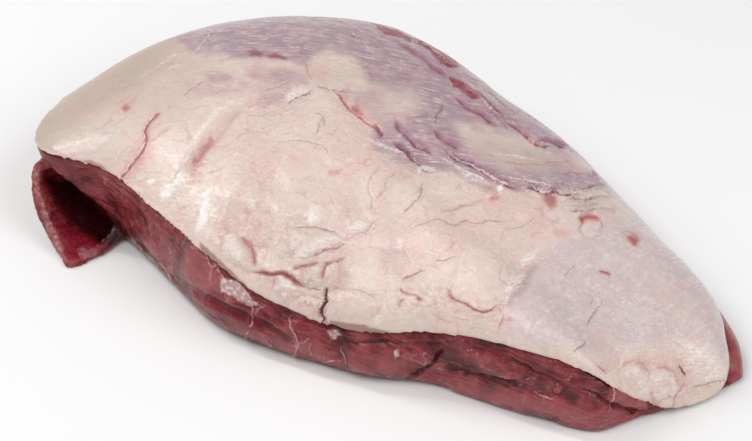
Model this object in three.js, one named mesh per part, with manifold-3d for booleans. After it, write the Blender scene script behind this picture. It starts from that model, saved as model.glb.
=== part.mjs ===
// Raw veal sirloin cap: one trimmed muscle lying fat side up, with the layer of fat that covers it.
// Millimetres, +Z up. +X runs from the thick end to the thin tip and -Y is the long cut side.
// The origin is under the middle of the piece, on the surface that it lies on.
import * as THREE from "three";
import { mergeVertices } from "three/addons/utils/BufferGeometryUtils.js";
import Module from "manifold-3d";

const wasm = await Module();
wasm.setup();

// ---------------------------------------------------------------- driving dimensions
const CROWN = { x: -45, y: 25, z: 52 }; // the highest point, over the thick end
const CROWN_FAT = 5.5; // fat thickness at the crown
const LAYER_GAP = 0.35; // clearance between the meat and the fat that lies on it
const SOLE_INSET = 2; // how far the sole's edge is rounded in from the foot
const RIBS = 128; // ribs round the piece, from the crown down to the sole
const TOP_RINGS = 30; // rings of the fat's outer face
const CROWDING = 1.2; // above 1 the rings lie closer together towards the rim, where the dome is steep
const HIDDEN_RINGS = 5; // rings of the two faces that meet under the fat
const WALL_RINGS = 6; // rings of the cut side
const FINE_STEPS = 40; // short steps between two stations, when the way round is measured

// Stations round the edge, seen from above and counter-clockwise from the corner over the pocket.
// x, y: where the meat meets the table. wall: height of the cut meat under the fat.
// lean: how far the fat's edge stands in from the foot. fat: thickness of the fat's cut edge.
// belly: how far the cut side swells. round: how full the dome is over that side.
const STATIONS = [
  { x: -109, y: -19, wall: 35.5, lean: -9, fat: 2.0, belly: 0, round: 1.5 },
  { x: -87, y: -20, wall: 33, lean: -3, fat: 2.0, belly: 0, round: 1.45 },
  { x: -60, y: -33, wall: 31, lean: 0, fat: 1.8, belly: 2, round: 1.4 },
  { x: -36, y: -44, wall: 30, lean: 1, fat: 2.0, belly: 3, round: 1.4 },
  { x: -14, y: -46, wall: 23, lean: 0, fat: 2.6, belly: 3, round: 1.4 },
  { x: 18, y: -44, wall: 19, lean: 0, fat: 4.8, belly: 2, round: 1.5 },
  { x: 45, y: -37, wall: 23.5, lean: 0, fat: 3.5, belly: 2, round: 1.5 },
  { x: 74, y: -36, wall: 27, lean: 1, fat: 2.2, belly: 3, round: 1.5 },
  { x: 98, y: -34, wall: 24, lean: 3, fat: 2.2, belly: 2, round: 1.5 },
  { x: 110, y: -25, wall: 10, lean: 3, fat: 2.6, belly: 0, round: 1.7 },
  { x: 121, y: -12, wall: 2.5, lean: 0, fat: 3.5, belly: 0, round: 1.7 },
  { x: 133, y: 3, wall: 3, lean: 2, fat: 3.0, belly: 0, round: 1.6 },
  { x: 134, y: 13, wall: 10, lean: 7, fat: 2.0, belly: 3, round: 1.5 },
  { x: 123, y: 29, wall: 12, lean: 6, fat: 2.0, belly: 3, round: 1.5 },
  { x: 91, y: 50, wall: 12, lean: 1, fat: 2.0, belly: 1, round: 1.5 },
  { x: 67, y: 68, wall: 13, lean: 1, fat: 2.0, belly: 1, round: 1.5 },
  { x: 45, y: 83, wall: 14, lean: 1, fat: 2.0, belly: 1, round: 1.5 },
  { x: 18, y: 95, wall: 16, lean: 2, fat: 2.0, belly: 2, round: 1.5 },
  { x: -13, y: 110, wall: 19, lean: 3, fat: 2.0, belly: 2, round: 1.5 },
  { x: -54, y: 117, wall: 21, lean: 3, fat: 2.0, belly: 2, round: 1.5 },
  { x: -97, y: 99, wall: 21, lean: 2, fat: 2.0, belly: 2, round: 1.5 },
  { x: -124, y: 69, wall: 20, lean: 1, fat: 2.0, belly: 2, round: 1.5 },
  { x: -134, y: 36, wall: 21, lean: 1, fat: 2.0, belly: 2, round: 1.5 },
  { x: -130, y: 6, wall: 29, lean: 0, fat: 2.0, belly: 1, round: 1.5 },
];

// Creases and folds of the fat, as lines seen from above. A height below zero is a groove.
const CREASES = [
  { line: [[-80, -1], [-77, -12], [-83, -25]], width: 6, height: -1.8 }, // groove over the pocket
  { line: [[-54, 13], [-57, -2], [-54, -24]], width: 9, height: -1.2 }, // broad hollow beside it
  { line: [[6, -34], [8, -43], [9, -50]], width: 4, height: -2.2 }, // split in the thick cut edge
  { line: [[-20, -42], [-6, -42], [6, -29]], width: 5, height: -1.0 },
  { line: [[46, -30], [56, -32], [62, -25]], width: 5, height: -1.0 },
  { line: [[5, 5], [7, -6], [10, -14]], width: 5, height: -0.8 },
  { line: [[-9, 21], [4, 12], [28, 22], [58, 25], [74, 38]], width: 6, height: 1.5 }, // long fold
  { line: [[-24, 32], [-12, 23], [0, 19]], width: 6, height: 1.2 },
  { line: [[5, 60], [16, 53], [30, 60]], width: 6, height: 1.4 },
  { line: [[34, 55], [40, 51], [49, 53]], width: 6, height: 1.3 },
  { line: [[63, 2], [62, -18], [65, -34]], width: 7, height: 1.3 }, // where the fat steps down
  { line: [[75, 18], [76, 18]], width: 6, height: 2.0 }, // round lobe
];
// Lobes of fat: full height round x, y, falling to the least share of it past reachX and reachY.
const LOBES = { pitch: 17, height: 1.7, x: 20, y: -28, reachX: 75, reachY: 34, least: 0.25 };
const RIM_RELIEF = { least: 0.3, reach: 0.15 }; // the relief dies down over the last share of the way out
const BUNDLES = { pitch: 21, height: 1.8, wall: 20 }; // bulges of the muscle, full on a wall this high
const BUMP = { stray: 0.8, slope: 1.2 }; // how unevenly bumps lie, and how soon they rise from a furrow

// The pocket under the corner: a slanting ellipse, seen from the front, that runs in from the cut side.
// half, narrow: its half axes. tilt: its slant in degrees. drift: how far it moves along x for each
// millimetre in. mouth: where the cut starts, clear of the flap. end: how deep it runs.
const POCKET = { x: -101.5, z: 14.5, half: 16, narrow: 6.5, tilt: -46, drift: 0.1, mouth: -62, end: 14 };
const POCKET_DEPTHS = [-40, -25, -12, 0, 8, 12]; // rings of the cut between the mouth and the end
const POCKET_SIDES = 28;
const POCKET_TAPER = 0.9; // share of the half width that is lost at the end
// The flap: a sheet of meat along the pocket's outer side, down to a toe on the table. bite: how far
// its inner face reaches into the pocket, whose cut trims it. nose: how far its front edge is rounded.
const FLAP = { thick: 4.2, root: -4, from: -16, to: 206, steps: 30, bite: 0.5, nose: 1, noseSteps: 4 };
// Where the flap's front edge is: the place round the pocket in degrees, and how far forward in y.
const FLAP_EDGE = [[-16, -25], [30, -26.5], [90, -33], [130, -37.5], [152, -40.5], [176, -33], [206, -21]];

// ---------------------------------------------------------------- small helpers
const lerp = (a, b, t) => a + (b - a) * t;
const clamp01 = (v) => Math.min(1, Math.max(0, v));
const smooth = (v) => clamp01(v) ** 2 * (3 - 2 * clamp01(v));

// The point between b and c at u, on the Catmull-Rom curve through a, b, c and d.
function curve(a, b, c, d, u) {
  return b + 0.5 * u * (c - a + u * (2 * a - 5 * b + 4 * c - d + u * (3 * (b - c) + d - a)));
}

// A field of the stations at place t, in stations round the edge.
function around(field, t) {
  const n = STATIONS.length;
  const i = Math.floor(t);
  const near = [i - 1, i, i + 1, i + 2].map((k) => STATIONS[((k % n) + n) % n][field]);
  return curve(...near, t - i);
}

// Places round the edge that are evenly spaced along the foot, and the spacing.
function evenPlaces(count) {
  const fine = FINE_STEPS * STATIONS.length;
  const at = (k) => (k * STATIONS.length) / fine;
  const reach = [0];
  for (let k = 1; k <= fine; k++) {
    const dx = around("x", at(k)) - around("x", at(k - 1));
    const dy = around("y", at(k)) - around("y", at(k - 1));
    reach.push(reach[k - 1] + Math.hypot(dx, dy));
  }
  const places = [];
  for (let i = 0, k = 0; i < count; i++) {
    const want = (i * reach[fine]) / count;
    while (reach[k + 1] < want) k++;
    places.push({ t: at(k + (want - reach[k]) / (reach[k + 1] - reach[k])), along: want });
  }
  return places;
}

// One rib: the vertical half-plane from the crown through the foot at a place round the edge.
function ribAt({ t, along }) {
  const foot = new THREE.Vector2(around("x", t), around("y", t));
  const out = foot.clone().sub(new THREE.Vector2(CROWN.x, CROWN.y));
  const reach = out.length();
  const rib = { out: out.normalize(), reach, rim: reach - around("lean", t), along };
  for (const field of ["wall", "fat", "belly", "round"]) rib[field] = around(field, t);
  return rib;
}

// The point of a rib at radius r and height z.
const onRib = (rib, r, z) => new THREE.Vector3(CROWN.x + rib.out.x * r, CROWN.y + rib.out.y * r, z);

// The dome's rise from the rim, 0, to the crown, 1, at a share of the way in.
const rise = (share, round) => Math.pow(1 - Math.pow(1 - share, 2), 1 / round);

// A number from 0 to 1 that is always the same for the same whole numbers.
function chance(i, j, k) {
  const s = Math.sin(i * 127.1 + j * 311.7 + k * 74.7) * 43758.5453;
  return s - Math.floor(s);
}

// Uneven round bumps, about pitch apart: 1 on top of a bump and 0 in the furrow between two.
function bumps(x, y, pitch) {
  const [i, j] = [Math.floor(x / pitch), Math.floor(y / pitch)];
  const reach = [];
  for (let a = i - 1; a <= i + 1; a++) {
    for (let b = j - 1; b <= j + 1; b++) {
      const cx = a + 0.5 + BUMP.stray * (chance(a, b, 1) - 0.5);
      const cy = b + 0.5 + BUMP.stray * (chance(a, b, 2) - 0.5);
      reach.push(Math.hypot(x / pitch - cx, y / pitch - cy));
    }
  }
  reach.sort((p, q) => p - q);
  return smooth((reach[1] - reach[0]) * BUMP.slope);
}

// How far the point x, y is from a line seen from above.
function lineDistance(x, y, line) {
  const point = new THREE.Vector3(x, y, 0);
  const [a, b, near] = [new THREE.Vector3(), new THREE.Vector3(), new THREE.Vector3()];
  let best = Infinity;
  for (let k = 0; k + 1 < line.length; k++) {
    new THREE.Line3(a.set(...line[k], 0), b.set(...line[k + 1], 0)).closestPointToPoint(point, true, near);
    best = Math.min(best, near.distanceTo(point));
  }
  return best;
}

// Rings of points, neighbours joined by quads, between two poles. The first otherWay bands of
// quads are split along their other diagonal, so that two faces that meet are split alike.
function ringBody(firstPole, rings, lastPole, otherWay = 0) {
  const count = rings[0].length;
  const points = [firstPole, ...rings.flat(), lastPole];
  const last = points.length - 1;
  const at = (ring, i) => 1 + ring * count + (i % count);
  const index = [];
  for (let i = 0; i < count; i++) {
    index.push(0, at(0, i), at(0, i + 1));
    index.push(last, at(rings.length - 1, i + 1), at(rings.length - 1, i));
    for (let k = 0; k + 1 < rings.length; k++) {
      const [a, b, c, d] = [at(k, i), at(k + 1, i), at(k + 1, i + 1), at(k, i + 1)];
      index.push(...(k < otherWay ? [a, b, d, b, c, d] : [a, b, c, a, c, d]));
    }
  }
  const geometry = new THREE.BufferGeometry().setFromPoints(points);
  geometry.setIndex(index);
  return geometry;
}

// ---------------------------------------------------------------- solids in and out of the booleans
function toSolid(geometry) {
  const merged = mergeVertices(geometry, 1e-4);
  return new wasm.Manifold(
    new wasm.Mesh({
      numProp: 3,
      vertProperties: merged.attributes.position.array,
      triVerts: new Uint32Array(merged.index.array),
    }),
  );
}

function toGeometry(solid) {
  const mesh = solid.getMesh();
  const geometry = new THREE.BufferGeometry();
  geometry.setAttribute("position", new THREE.BufferAttribute(mesh.vertProperties, 3));
  geometry.setIndex(new THREE.BufferAttribute(mesh.triVerts, 1));
  geometry.computeVertexNormals();
  return geometry;
}

// ---------------------------------------------------------------- the fat cap
// The fat's outer face without relief, at a share of the way in along a rib.
function domePoint(rib, share) {
  const edge = rib.wall + LAYER_GAP + rib.fat;
  return onRib(rib, rib.rim * (1 - share), lerp(edge, CROWN.z, rise(share, rib.round)));
}

// How far the relief stands out of the dome over the point x, y.
function reliefAt({ x, y }) {
  const off = ((x - LOBES.x) / LOBES.reachX) ** 2 + ((y - LOBES.y) / LOBES.reachY) ** 2;
  const lobes = LOBES.height * Math.max(LOBES.least, Math.exp(-off)) * (bumps(x, y, LOBES.pitch) - 0.5);
  const creases = CREASES.map(({ line, width, height }) => {
    return height * Math.exp(-((lineDistance(x, y, line) / (width / 2)) ** 2));
  });
  return lobes + creases.reduce((sum, height) => sum + height, 0);
}

// The fat's outer face with its relief, which dies down towards the thin cut edge.
function fatPoint(rib, share) {
  const point = domePoint(rib, share);
  const step = 0.01;
  const slope = domePoint(rib, Math.min(1, share + step)).sub(domePoint(rib, Math.max(0, share - step)));
  const side = new THREE.Vector3(-rib.out.y, rib.out.x, 0);
  const normal = slope.cross(side).normalize();
  const fade = lerp(RIM_RELIEF.least, 1, smooth(share / RIM_RELIEF.reach));
  return point.addScaledVector(normal, reliefAt(point) * fade);
}

function fatCap(ribs) {
  const outer = [];
  for (let k = 1; k <= TOP_RINGS; k++) {
    const share = Math.pow(1 - k / TOP_RINGS, CROWDING);
    outer.push(ribs.map((rib) => (share > 0 ? fatPoint(rib, share) : domePoint(rib, 0))));
  }
  const lower = [];
  const top = CROWN.z - CROWN_FAT;
  for (let k = 0; k < HIDDEN_RINGS; k++) {
    const share = k / HIDDEN_RINGS;
    const height = (rib) => lerp(rib.wall + LAYER_GAP, top, rise(share, rib.round));
    lower.push(ribs.map((rib) => onRib(rib, rib.rim * (1 - share), height(rib))));
  }
  const crown = new THREE.Vector3(CROWN.x, CROWN.y, CROWN.z);
  const under = new THREE.Vector3(CROWN.x, CROWN.y, top);
  return ringBody(crown, [...outer, ...lower], under);
}

// ---------------------------------------------------------------- the meat
function meatBody(ribs) {
  const top = CROWN.z - CROWN_FAT - LAYER_GAP;
  const rings = [];
  for (let k = 1; k <= HIDDEN_RINGS; k++) {
    const share = 1 - k / HIDDEN_RINGS;
    const height = (rib) => lerp(rib.wall, top, rise(share, rib.round));
    rings.push(ribs.map((rib) => onRib(rib, (rib.rim - LAYER_GAP) * (1 - share), height(rib))));
  }
  for (let k = 1; k <= WALL_RINGS; k++) {
    const down = k / (WALL_RINGS + 1);
    rings.push(
      ribs.map((rib) => {
        const z = rib.wall * (1 - down);
        const height = BUNDLES.height * smooth(rib.wall / BUNDLES.wall);
        const bulge = rib.belly + height * (bumps(rib.along, z, BUNDLES.pitch) - 0.5);
        return onRib(rib, lerp(rib.rim, rib.reach, down) + bulge * Math.sin(Math.PI * down), z);
      }),
    );
  }
  rings.push(ribs.map((rib) => onRib(rib, rib.reach - SOLE_INSET, 0)));
  const crown = new THREE.Vector3(CROWN.x, CROWN.y, top);
  const sole = new THREE.Vector3(CROWN.x, CROWN.y, 0);
  return ringBody(crown, rings, sole, HIDDEN_RINGS - 1);
}

// ---------------------------------------------------------------- the pocket and its flap
// A point on the pocket's section at an angle in degrees, grown outwards by grow, at depth y.
// The angle runs from the upper corner, 0, round the outer side to the lower corner, 180.
function pocketPoint(angle, grow, y) {
  const [a, tilt] = [THREE.MathUtils.degToRad(angle), THREE.MathUtils.degToRad(POCKET.tilt)];
  const along = -(POCKET.half + grow) * Math.cos(a);
  const across = -(POCKET.narrow + grow) * Math.sin(a);
  const x = POCKET.x + along * Math.cos(tilt) - across * Math.sin(tilt) + POCKET.drift * (y - FLAP.root);
  return new THREE.Vector3(x, y, POCKET.z + along * Math.sin(tilt) + across * Math.cos(tilt));
}

function pocketTool() {
  const shrink = (y) => -POCKET.narrow * POCKET_TAPER * smooth((y - FLAP.root) / (POCKET.end - FLAP.root));
  const angles = Array.from({ length: POCKET_SIDES }, (_, i) => (360 * i) / POCKET_SIDES);
  const ring = (y) => angles.map((angle) => pocketPoint(angle, shrink(y), y));
  const pole = (y) => new THREE.Vector3(POCKET.x + POCKET.drift * (y - FLAP.root), y, POCKET.z);
  const depths = [POCKET.mouth, ...POCKET_DEPTHS, POCKET.end];
  return ringBody(pole(POCKET.mouth), depths.map(ring), pole(POCKET.end));
}

// The flap's front edge at an angle round the pocket.
function flapEdge(angle) {
  let k = 0;
  while (k + 2 < FLAP_EDGE.length && FLAP_EDGE[k + 1][0] < angle) k++;
  const last = FLAP_EDGE.length - 1;
  const near = [k - 1, k, k + 1, k + 2].map((i) => FLAP_EDGE[THREE.MathUtils.clamp(i, 0, last)][1]);
  return curve(...near, (angle - FLAP_EDGE[k][0]) / (FLAP_EDGE[k + 1][0] - FLAP_EDGE[k][0]));
}

function flap() {
  const rings = [];
  for (let i = 0; i <= FLAP.steps; i++) {
    const angle = lerp(FLAP.to, FLAP.from, i / FLAP.steps);
    const edge = flapEdge(angle);
    const half = (FLAP.root + edge) / 2;
    const section = [[-FLAP.bite, FLAP.root], [-FLAP.bite, half]];
    for (let k = 0; k <= FLAP.noseSteps; k++) {
      const turn = (Math.PI * k) / FLAP.noseSteps;
      section.push([(FLAP.thick / 2) * (1 - Math.cos(turn)), edge + FLAP.nose * (1 - Math.sin(turn))]);
    }
    section.push([FLAP.thick, half], [FLAP.thick, FLAP.root]);
    rings.push(
      section.map(([grow, y]) => {
        const point = pocketPoint(angle, grow, y);
        point.z = Math.max(0, point.z);
        return point;
      }),
    );
  }
  const middle = (ring) => ring.reduce((sum, p) => sum.add(p), new THREE.Vector3()).divideScalar(ring.length);
  return ringBody(middle(rings[0]), rings, middle(rings[rings.length - 1]));
}

// ---------------------------------------------------------------- assembly
const ribs = evenPlaces(RIBS).map(ribAt);

const finishes = {
  meat: new THREE.MeshStandardMaterial({ color: 0x8a3f47, roughness: 0.35, metalness: 0 }),
  fat: new THREE.MeshStandardMaterial({ color: 0xe0cdbd, roughness: 0.4, metalness: 0 }),
};

function node(name, geometry, finish) {
  const mesh = new THREE.Mesh(geometry, finish);
  mesh.name = name;
  return mesh;
}

const meat = toSolid(meatBody(ribs)).add(toSolid(flap())).subtract(toSolid(pocketTool()));

const cap = new THREE.Group();
cap.add(node("meat", toGeometry(meat), finishes.meat));
cap.add(node("fat_cap", fatCap(ribs), finishes.fat));

// The origin goes under the middle of the piece.
const middle = new THREE.Box3().setFromObject(cap).getCenter(new THREE.Vector3());
cap.position.set(-middle.x, -middle.y, 0);
export default cap;
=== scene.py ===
"""A raw veal sirloin cap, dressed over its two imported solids.

The meat and the fat cap are each copied from their solid, made dense, cut with the
furrows, folds and strings of the real joint, and finished as wet muscle, firm fat and
the lilac film that lies over its back.
"""

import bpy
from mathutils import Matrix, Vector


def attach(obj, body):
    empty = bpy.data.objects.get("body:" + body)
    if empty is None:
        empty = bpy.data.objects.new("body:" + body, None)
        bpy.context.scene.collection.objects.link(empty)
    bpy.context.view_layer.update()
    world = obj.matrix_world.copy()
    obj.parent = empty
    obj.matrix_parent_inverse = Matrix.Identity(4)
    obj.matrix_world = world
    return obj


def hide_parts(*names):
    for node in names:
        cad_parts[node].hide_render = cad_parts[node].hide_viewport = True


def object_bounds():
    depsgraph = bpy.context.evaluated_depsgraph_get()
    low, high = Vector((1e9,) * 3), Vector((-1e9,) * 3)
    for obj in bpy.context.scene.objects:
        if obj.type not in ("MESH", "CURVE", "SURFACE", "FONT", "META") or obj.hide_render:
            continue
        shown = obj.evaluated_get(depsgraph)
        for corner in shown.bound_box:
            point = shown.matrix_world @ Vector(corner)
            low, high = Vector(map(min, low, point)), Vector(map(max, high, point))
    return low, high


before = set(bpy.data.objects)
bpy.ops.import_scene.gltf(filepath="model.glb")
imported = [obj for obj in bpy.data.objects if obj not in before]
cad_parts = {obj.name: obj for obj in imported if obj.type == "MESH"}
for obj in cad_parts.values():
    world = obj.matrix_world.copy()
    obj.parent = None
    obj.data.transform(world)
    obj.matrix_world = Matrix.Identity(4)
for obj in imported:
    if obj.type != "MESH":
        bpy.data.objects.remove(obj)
CAD_BOX = [tuple(corner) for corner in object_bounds()]

import logging
import math
from collections.abc import Callable
from dataclasses import dataclass, field
from enum import Enum

import bmesh
import bpy
import numpy as np
from mathutils import Matrix, Vector, noise

LOG = logging.getLogger("sirloin_cap")
MM = 0.001
Pixel = tuple[float, float]
Paint = tuple[int, int, int]
Socket = bpy.types.NodeSocket
TIP_ALONG = (98.0, 112.0)
TIP_SIDE = (-24.0, -31.0)
TIP_LOW = (9.0, 5.0)


def paint(red: int, green: int, blue: int) -> tuple[float, float, float, float]:
    """Turns a colour as it is seen, 0 to 255, into the shader's own linear numbers."""
    shares = (red / 255, green / 255, blue / 255)
    linear = [((c + 0.055) / 1.055) ** 2.4 if c > 0.04 else c / 12.92 for c in shares]
    return (linear[0], linear[1], linear[2], 1.0)


def ease(low: float, high: float, value: np.ndarray) -> np.ndarray:
    """Rises smoothly from 0 at low to 1 at high, or falls where low is the larger.

    Args:
        low: The value that gives 0.
        high: The value that gives 1.
        value: The numbers to turn.

    Returns:
        One number from 0 to 1 for each.
    """
    share = np.clip((value - low) / (high - low), 0.0, 1.0)
    return share * share * (3.0 - 2.0 * share)


class Number:
    """A number in a node tree, worked out with Python's own operators."""

    def __init__(self, graph: "Graph", socket: Socket) -> None:
        """Keeps the socket that gives the number."""
        self.graph = graph
        self.socket = socket

    def _maths(self, operation: str, *terms: "Number | float") -> "Number":
        """Adds one Math node that takes the terms in order."""
        return self.graph.number("ShaderNodeMath", {"operation": operation}, dict(enumerate(terms)))

    def __add__(self, other: "Number | float") -> "Number":
        """Adds a number."""
        return self._maths("ADD", self, other)

    __radd__ = __add__

    def __sub__(self, other: "Number | float") -> "Number":
        """Takes a number away."""
        return self._maths("SUBTRACT", self, other)

    def __rsub__(self, other: "Number | float") -> "Number":
        """Is taken away from a number."""
        return self._maths("SUBTRACT", other, self)

    def __mul__(self, other: "Number | float") -> "Number":
        """Multiplies."""
        return self._maths("MULTIPLY", self, other)

    __rmul__ = __mul__

    def __truediv__(self, other: "Number | float") -> "Number":
        """Divides."""
        return self._maths("DIVIDE", self, other)

    def magnitude(self) -> "Number":
        """Drops the sign."""
        return self._maths("ABSOLUTE", self)

    def larger(self, other: "Number | float") -> "Number":
        """Gives the larger of two numbers."""
        return self._maths("MAXIMUM", self, other)

    def smaller(self, other: "Number | float") -> "Number":
        """Gives the smaller of two numbers."""
        return self._maths("MINIMUM", self, other)

    def ramp(self, low: float, high: float) -> "Number":
        """Rises smoothly from 0 at low to 1 at high, or falls where low is the larger."""
        sockets = {"Value": self, "From Min": low, "From Max": high}
        return self.graph.number("ShaderNodeMapRange", {"interpolation_type": "SMOOTHSTEP"}, sockets)


class Graph:
    """A node tree as it is built, for a finish or for a shape."""

    def __init__(self, tree: bpy.types.NodeTree) -> None:
        """Keeps the tree and clears it."""
        self.tree = tree
        self.tree.nodes.clear()

    def node(self, kind: str, settings: dict | None = None, sockets: dict | None = None) -> bpy.types.Node:
        """Adds a node.

        Args:
            kind: The node's type.
            settings: Its properties, which are set first.
            sockets: Its inputs by name, identifier or place, each with a value or a link.

        Returns:
            The node.
        """
        node = self.tree.nodes.new(kind)
        for name, value in (settings or {}).items():
            setattr(node, name, value)
        for key, value in (sockets or {}).items():
            self.feed(self.find(node.inputs, key), value)
        return node

    @staticmethod
    def find(sockets: bpy.types.NodeInputs, key: str | int) -> Socket:
        """Finds a socket by its place, its identifier or its name."""
        if isinstance(key, int):
            return sockets[key]
        exact = [s for s in sockets if s.identifier == key]
        named = [s for s in sockets if s.name == key and s.enabled]
        return (exact or named)[0]

    def feed(self, socket: Socket, value: object) -> None:
        """Links a socket to what feeds it, or sets its own value."""
        if isinstance(value, Number):
            value = value.socket
        if isinstance(value, Socket):
            self.tree.links.new(value, socket)
        else:
            socket.default_value = value

    def number(
        self, kind: str, settings: dict | None = None, sockets: dict | None = None, out: str | int = 0
    ) -> Number:
        """Adds a node and gives one of its outputs as a number."""
        return Number(self, self.find(self.node(kind, settings, sockets).outputs, out))

    def vector(self, operation: str, *terms: object, scale: object = None) -> Socket:
        """Adds a Vector Math node and gives its vector."""
        sockets = dict(enumerate(terms))
        if scale is not None:
            sockets["Scale"] = scale
        return self.node("ShaderNodeVectorMath", {"operation": operation}, sockets).outputs[0]

    def along(self, place: object, direction: tuple[float, float, float]) -> Number:
        """Gives how far a place lies along a direction."""
        sockets = {0: place, 1: direction}
        return self.number("ShaderNodeVectorMath", {"operation": "DOT_PRODUCT"}, sockets, "Value")

    def mix(self, share: Number | float, first: object, second: object) -> Socket:
        """Mixes two colours: the share is how much of the second shows."""
        sockets = {"Factor_Float": share, "A_Color": first, "B_Color": second}
        return self.find(self.node("ShaderNodeMix", {"data_type": "RGBA"}, sockets).outputs, "Result_Color")

    def noise(self, place: object, size: float, detail: float = 2.0, rough: float = 0.5) -> Number:
        """Gives soft noise from 0 to 1, with spots of about the given size."""
        sockets = {"Vector": place, "Scale": 1.0 / size, "Detail": detail, "Roughness": rough}
        return self.number("ShaderNodeTexNoise", {}, sockets)

    def wander(self, place: object, size: float, reach: float) -> Socket:
        """Moves a place about, so that a pattern read from it wanders.

        Args:
            place: The place to move.
            size: The length over which it swings from side to side.
            reach: How far it moves.

        Returns:
            The moved place.
        """
        sockets = {"Vector": place, "Scale": 1.0 / size, "Detail": 2.0}
        spread = self.node("ShaderNodeTexNoise", {}, sockets).outputs["Color"]
        centred = self.vector("SUBTRACT", spread, (0.5, 0.5, 0.5))
        return self.vector("ADD", place, self.vector("SCALE", centred, scale=reach))

    def seam(self, place: object, size: float) -> Number:
        """Gives the distance to the nearest seam between cells of the given size, in metres."""
        sockets = {"Vector": place, "Scale": 1.0 / size}
        cells = self.number("ShaderNodeTexVoronoi", {"feature": "DISTANCE_TO_EDGE"}, sockets, "Distance")
        return cells * size

    def vein(self, place: object, size: float, thin: float) -> Number:
        """Gives thin wandering lines, 1 on a line and 0 away from it."""
        return (self.noise(place, size, 3.0) - 0.5).magnitude().ramp(thin, thin * 0.2)

    def layer(self, name: str) -> Number:
        """Gives a layer that the mesh carries, as a number."""
        raise NotImplementedError

    def place(self) -> Socket:
        """Gives the place of the surface before its fine relief."""
        raise NotImplementedError


class FinishGraph(Graph):
    """The node tree of a finish."""

    def layer(self, name: str) -> Number:
        """Gives a layer that the mesh carries, as a number."""
        return self.number("ShaderNodeAttribute", {"attribute_name": name}, {}, "Fac")

    def place(self) -> Socket:
        """Gives the place of the surface before its fine relief."""
        return self.node("ShaderNodeAttribute", {"attribute_name": "rest"}).outputs["Vector"]


class ShapeGraph(Graph):
    """The node tree of a shape."""

    def socket(self, name: str, kind: str, outward: bool = False) -> bpy.types.NodeTreeInterfaceSocket:
        """Adds a named input, or an output, to the tree."""
        direction = "OUTPUT" if outward else "INPUT"
        return self.tree.interface.new_socket(name=name, in_out=direction, socket_type=kind)

    def layer(self, name: str) -> Number:
        """Gives a layer that the mesh carries, as a number."""
        settings = {"data_type": "FLOAT"}
        return self.number("GeometryNodeInputNamedAttribute", settings, {"Name": name}, "Attribute")

    def place(self) -> Socket:
        """Gives the place of the surface before its fine relief."""
        return self.node("GeometryNodeInputPosition").outputs[0]


class Layer(Enum):
    """What a mesh carries for its relief and its finish, mostly from 0 to 1.

    The offset is the distance in pixels from the nearest thin line, larger than 0 on its
    lit side. Ink and gleam say how strongly that line shows, dark or pale; the pale gleam is
    white strings of membrane and painted highlights along ridges and lips.
    """

    RELIEF = "relief"
    # dark: painted shade in hollows, folds and the pocket, and under faces that look down
    DARK = "dark"
    BLOOD = "blood"
    # pale: painted highlights on the fat; on the meat, membrane, and painted sheen and glints on the flap
    PALE_AND_HIGHLIGHT = "pale"
    FILM = "film"
    # haze: the pale haze over the fat's tip; on the meat, painted light on the bulges and rosy colour on the
    # flap
    HAZE_AND_LIGHT = "haze"
    PUFF = "puff"
    WET = "wet"
    MUSCLE = "muscle"
    # edge: painted shade on the fat's cut side and the brown limb; on the meat, where it may not swell
    EDGE = "edge"
    # tan: yellower fat and painted shade over the fat's left shoulder; olive fascia on the meat
    TAN = "tan"
    OFFSET = "offset"
    INK = "ink"
    GLEAM = "gleam"


class Mark(Enum):
    """How a line is cut in the surface."""

    CRACK = "crack"
    GROOVE = "groove"
    FOLD = "fold"
    RIDGE = "ridge"
    STEP = "step"
    STAIN = "stain"

    def profile(self, offset: np.ndarray) -> np.ndarray:
        """Gives the height across the line, for a depth of one.

        Args:
            offset: The distance from the line in widths, larger than 0 on its right hand.

        Returns:
            The height at each offset.
        """
        valley = -np.exp(-offset**2)
        match self:
            case Mark.CRACK:
                return 0.35 * valley
            case Mark.GROOVE:
                return valley + 0.3 * np.exp(-(((np.abs(offset) - 1.9) / 0.8) ** 2))
            case Mark.FOLD:
                return valley + 0.75 * np.exp(-(((offset - 1.8) / 0.9) ** 2))
            case Mark.RIDGE:
                return -valley
            case Mark.STEP:
                return 0.5 * (1.0 + np.tanh(1.6 * offset)) * np.exp(-((offset / 9.0) ** 2))
        return np.zeros_like(offset)


@dataclass(frozen=True)
class Stroke:
    """A line on the surface, placed by the photograph's pixels.

    Its width is in pixels and its depth in millimetres. The other numbers say how
    strongly each layer shows along it.
    """

    name: str
    mark: Mark
    path: tuple[Pixel, ...]
    wide: float = 1.2
    deep: float = 0.4
    dark: float = 0.0
    blood: float = 0.0
    pale: float = 0.0
    film: float = 0.0
    blunt: bool = False

    REACH = 9.0
    THIN = 4.5
    BROAD = 1.7
    STEPS = 4

    def line(self) -> np.ndarray:
        """Rounds the path with a smooth curve through its points."""
        points = np.array(self.path, float)
        ends = np.vstack([2 * points[0] - points[1], points, 2 * points[-1] - points[-2]])
        share = np.arange(self.STEPS)[:, None] / self.STEPS
        spans = []
        for a, b, c, d in zip(ends[:-3], ends[1:-2], ends[2:-1], ends[3:]):
            cubic = (2 * b + (c - a) * share + (2 * a - 5 * b + 4 * c - d) * share**2)
            spans.append(0.5 * (cubic + (3 * b - a - 3 * c + d) * share**3))
        return np.vstack([*spans, points[-1:]])


@dataclass(frozen=True)
class Patch:
    """An area of the surface, placed by the photograph's pixels."""

    name: str
    layer: Layer
    outline: tuple[Pixel, ...]
    soft: float = 8.0
    strength: float = 1.0
    level: float = 0.0


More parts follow.
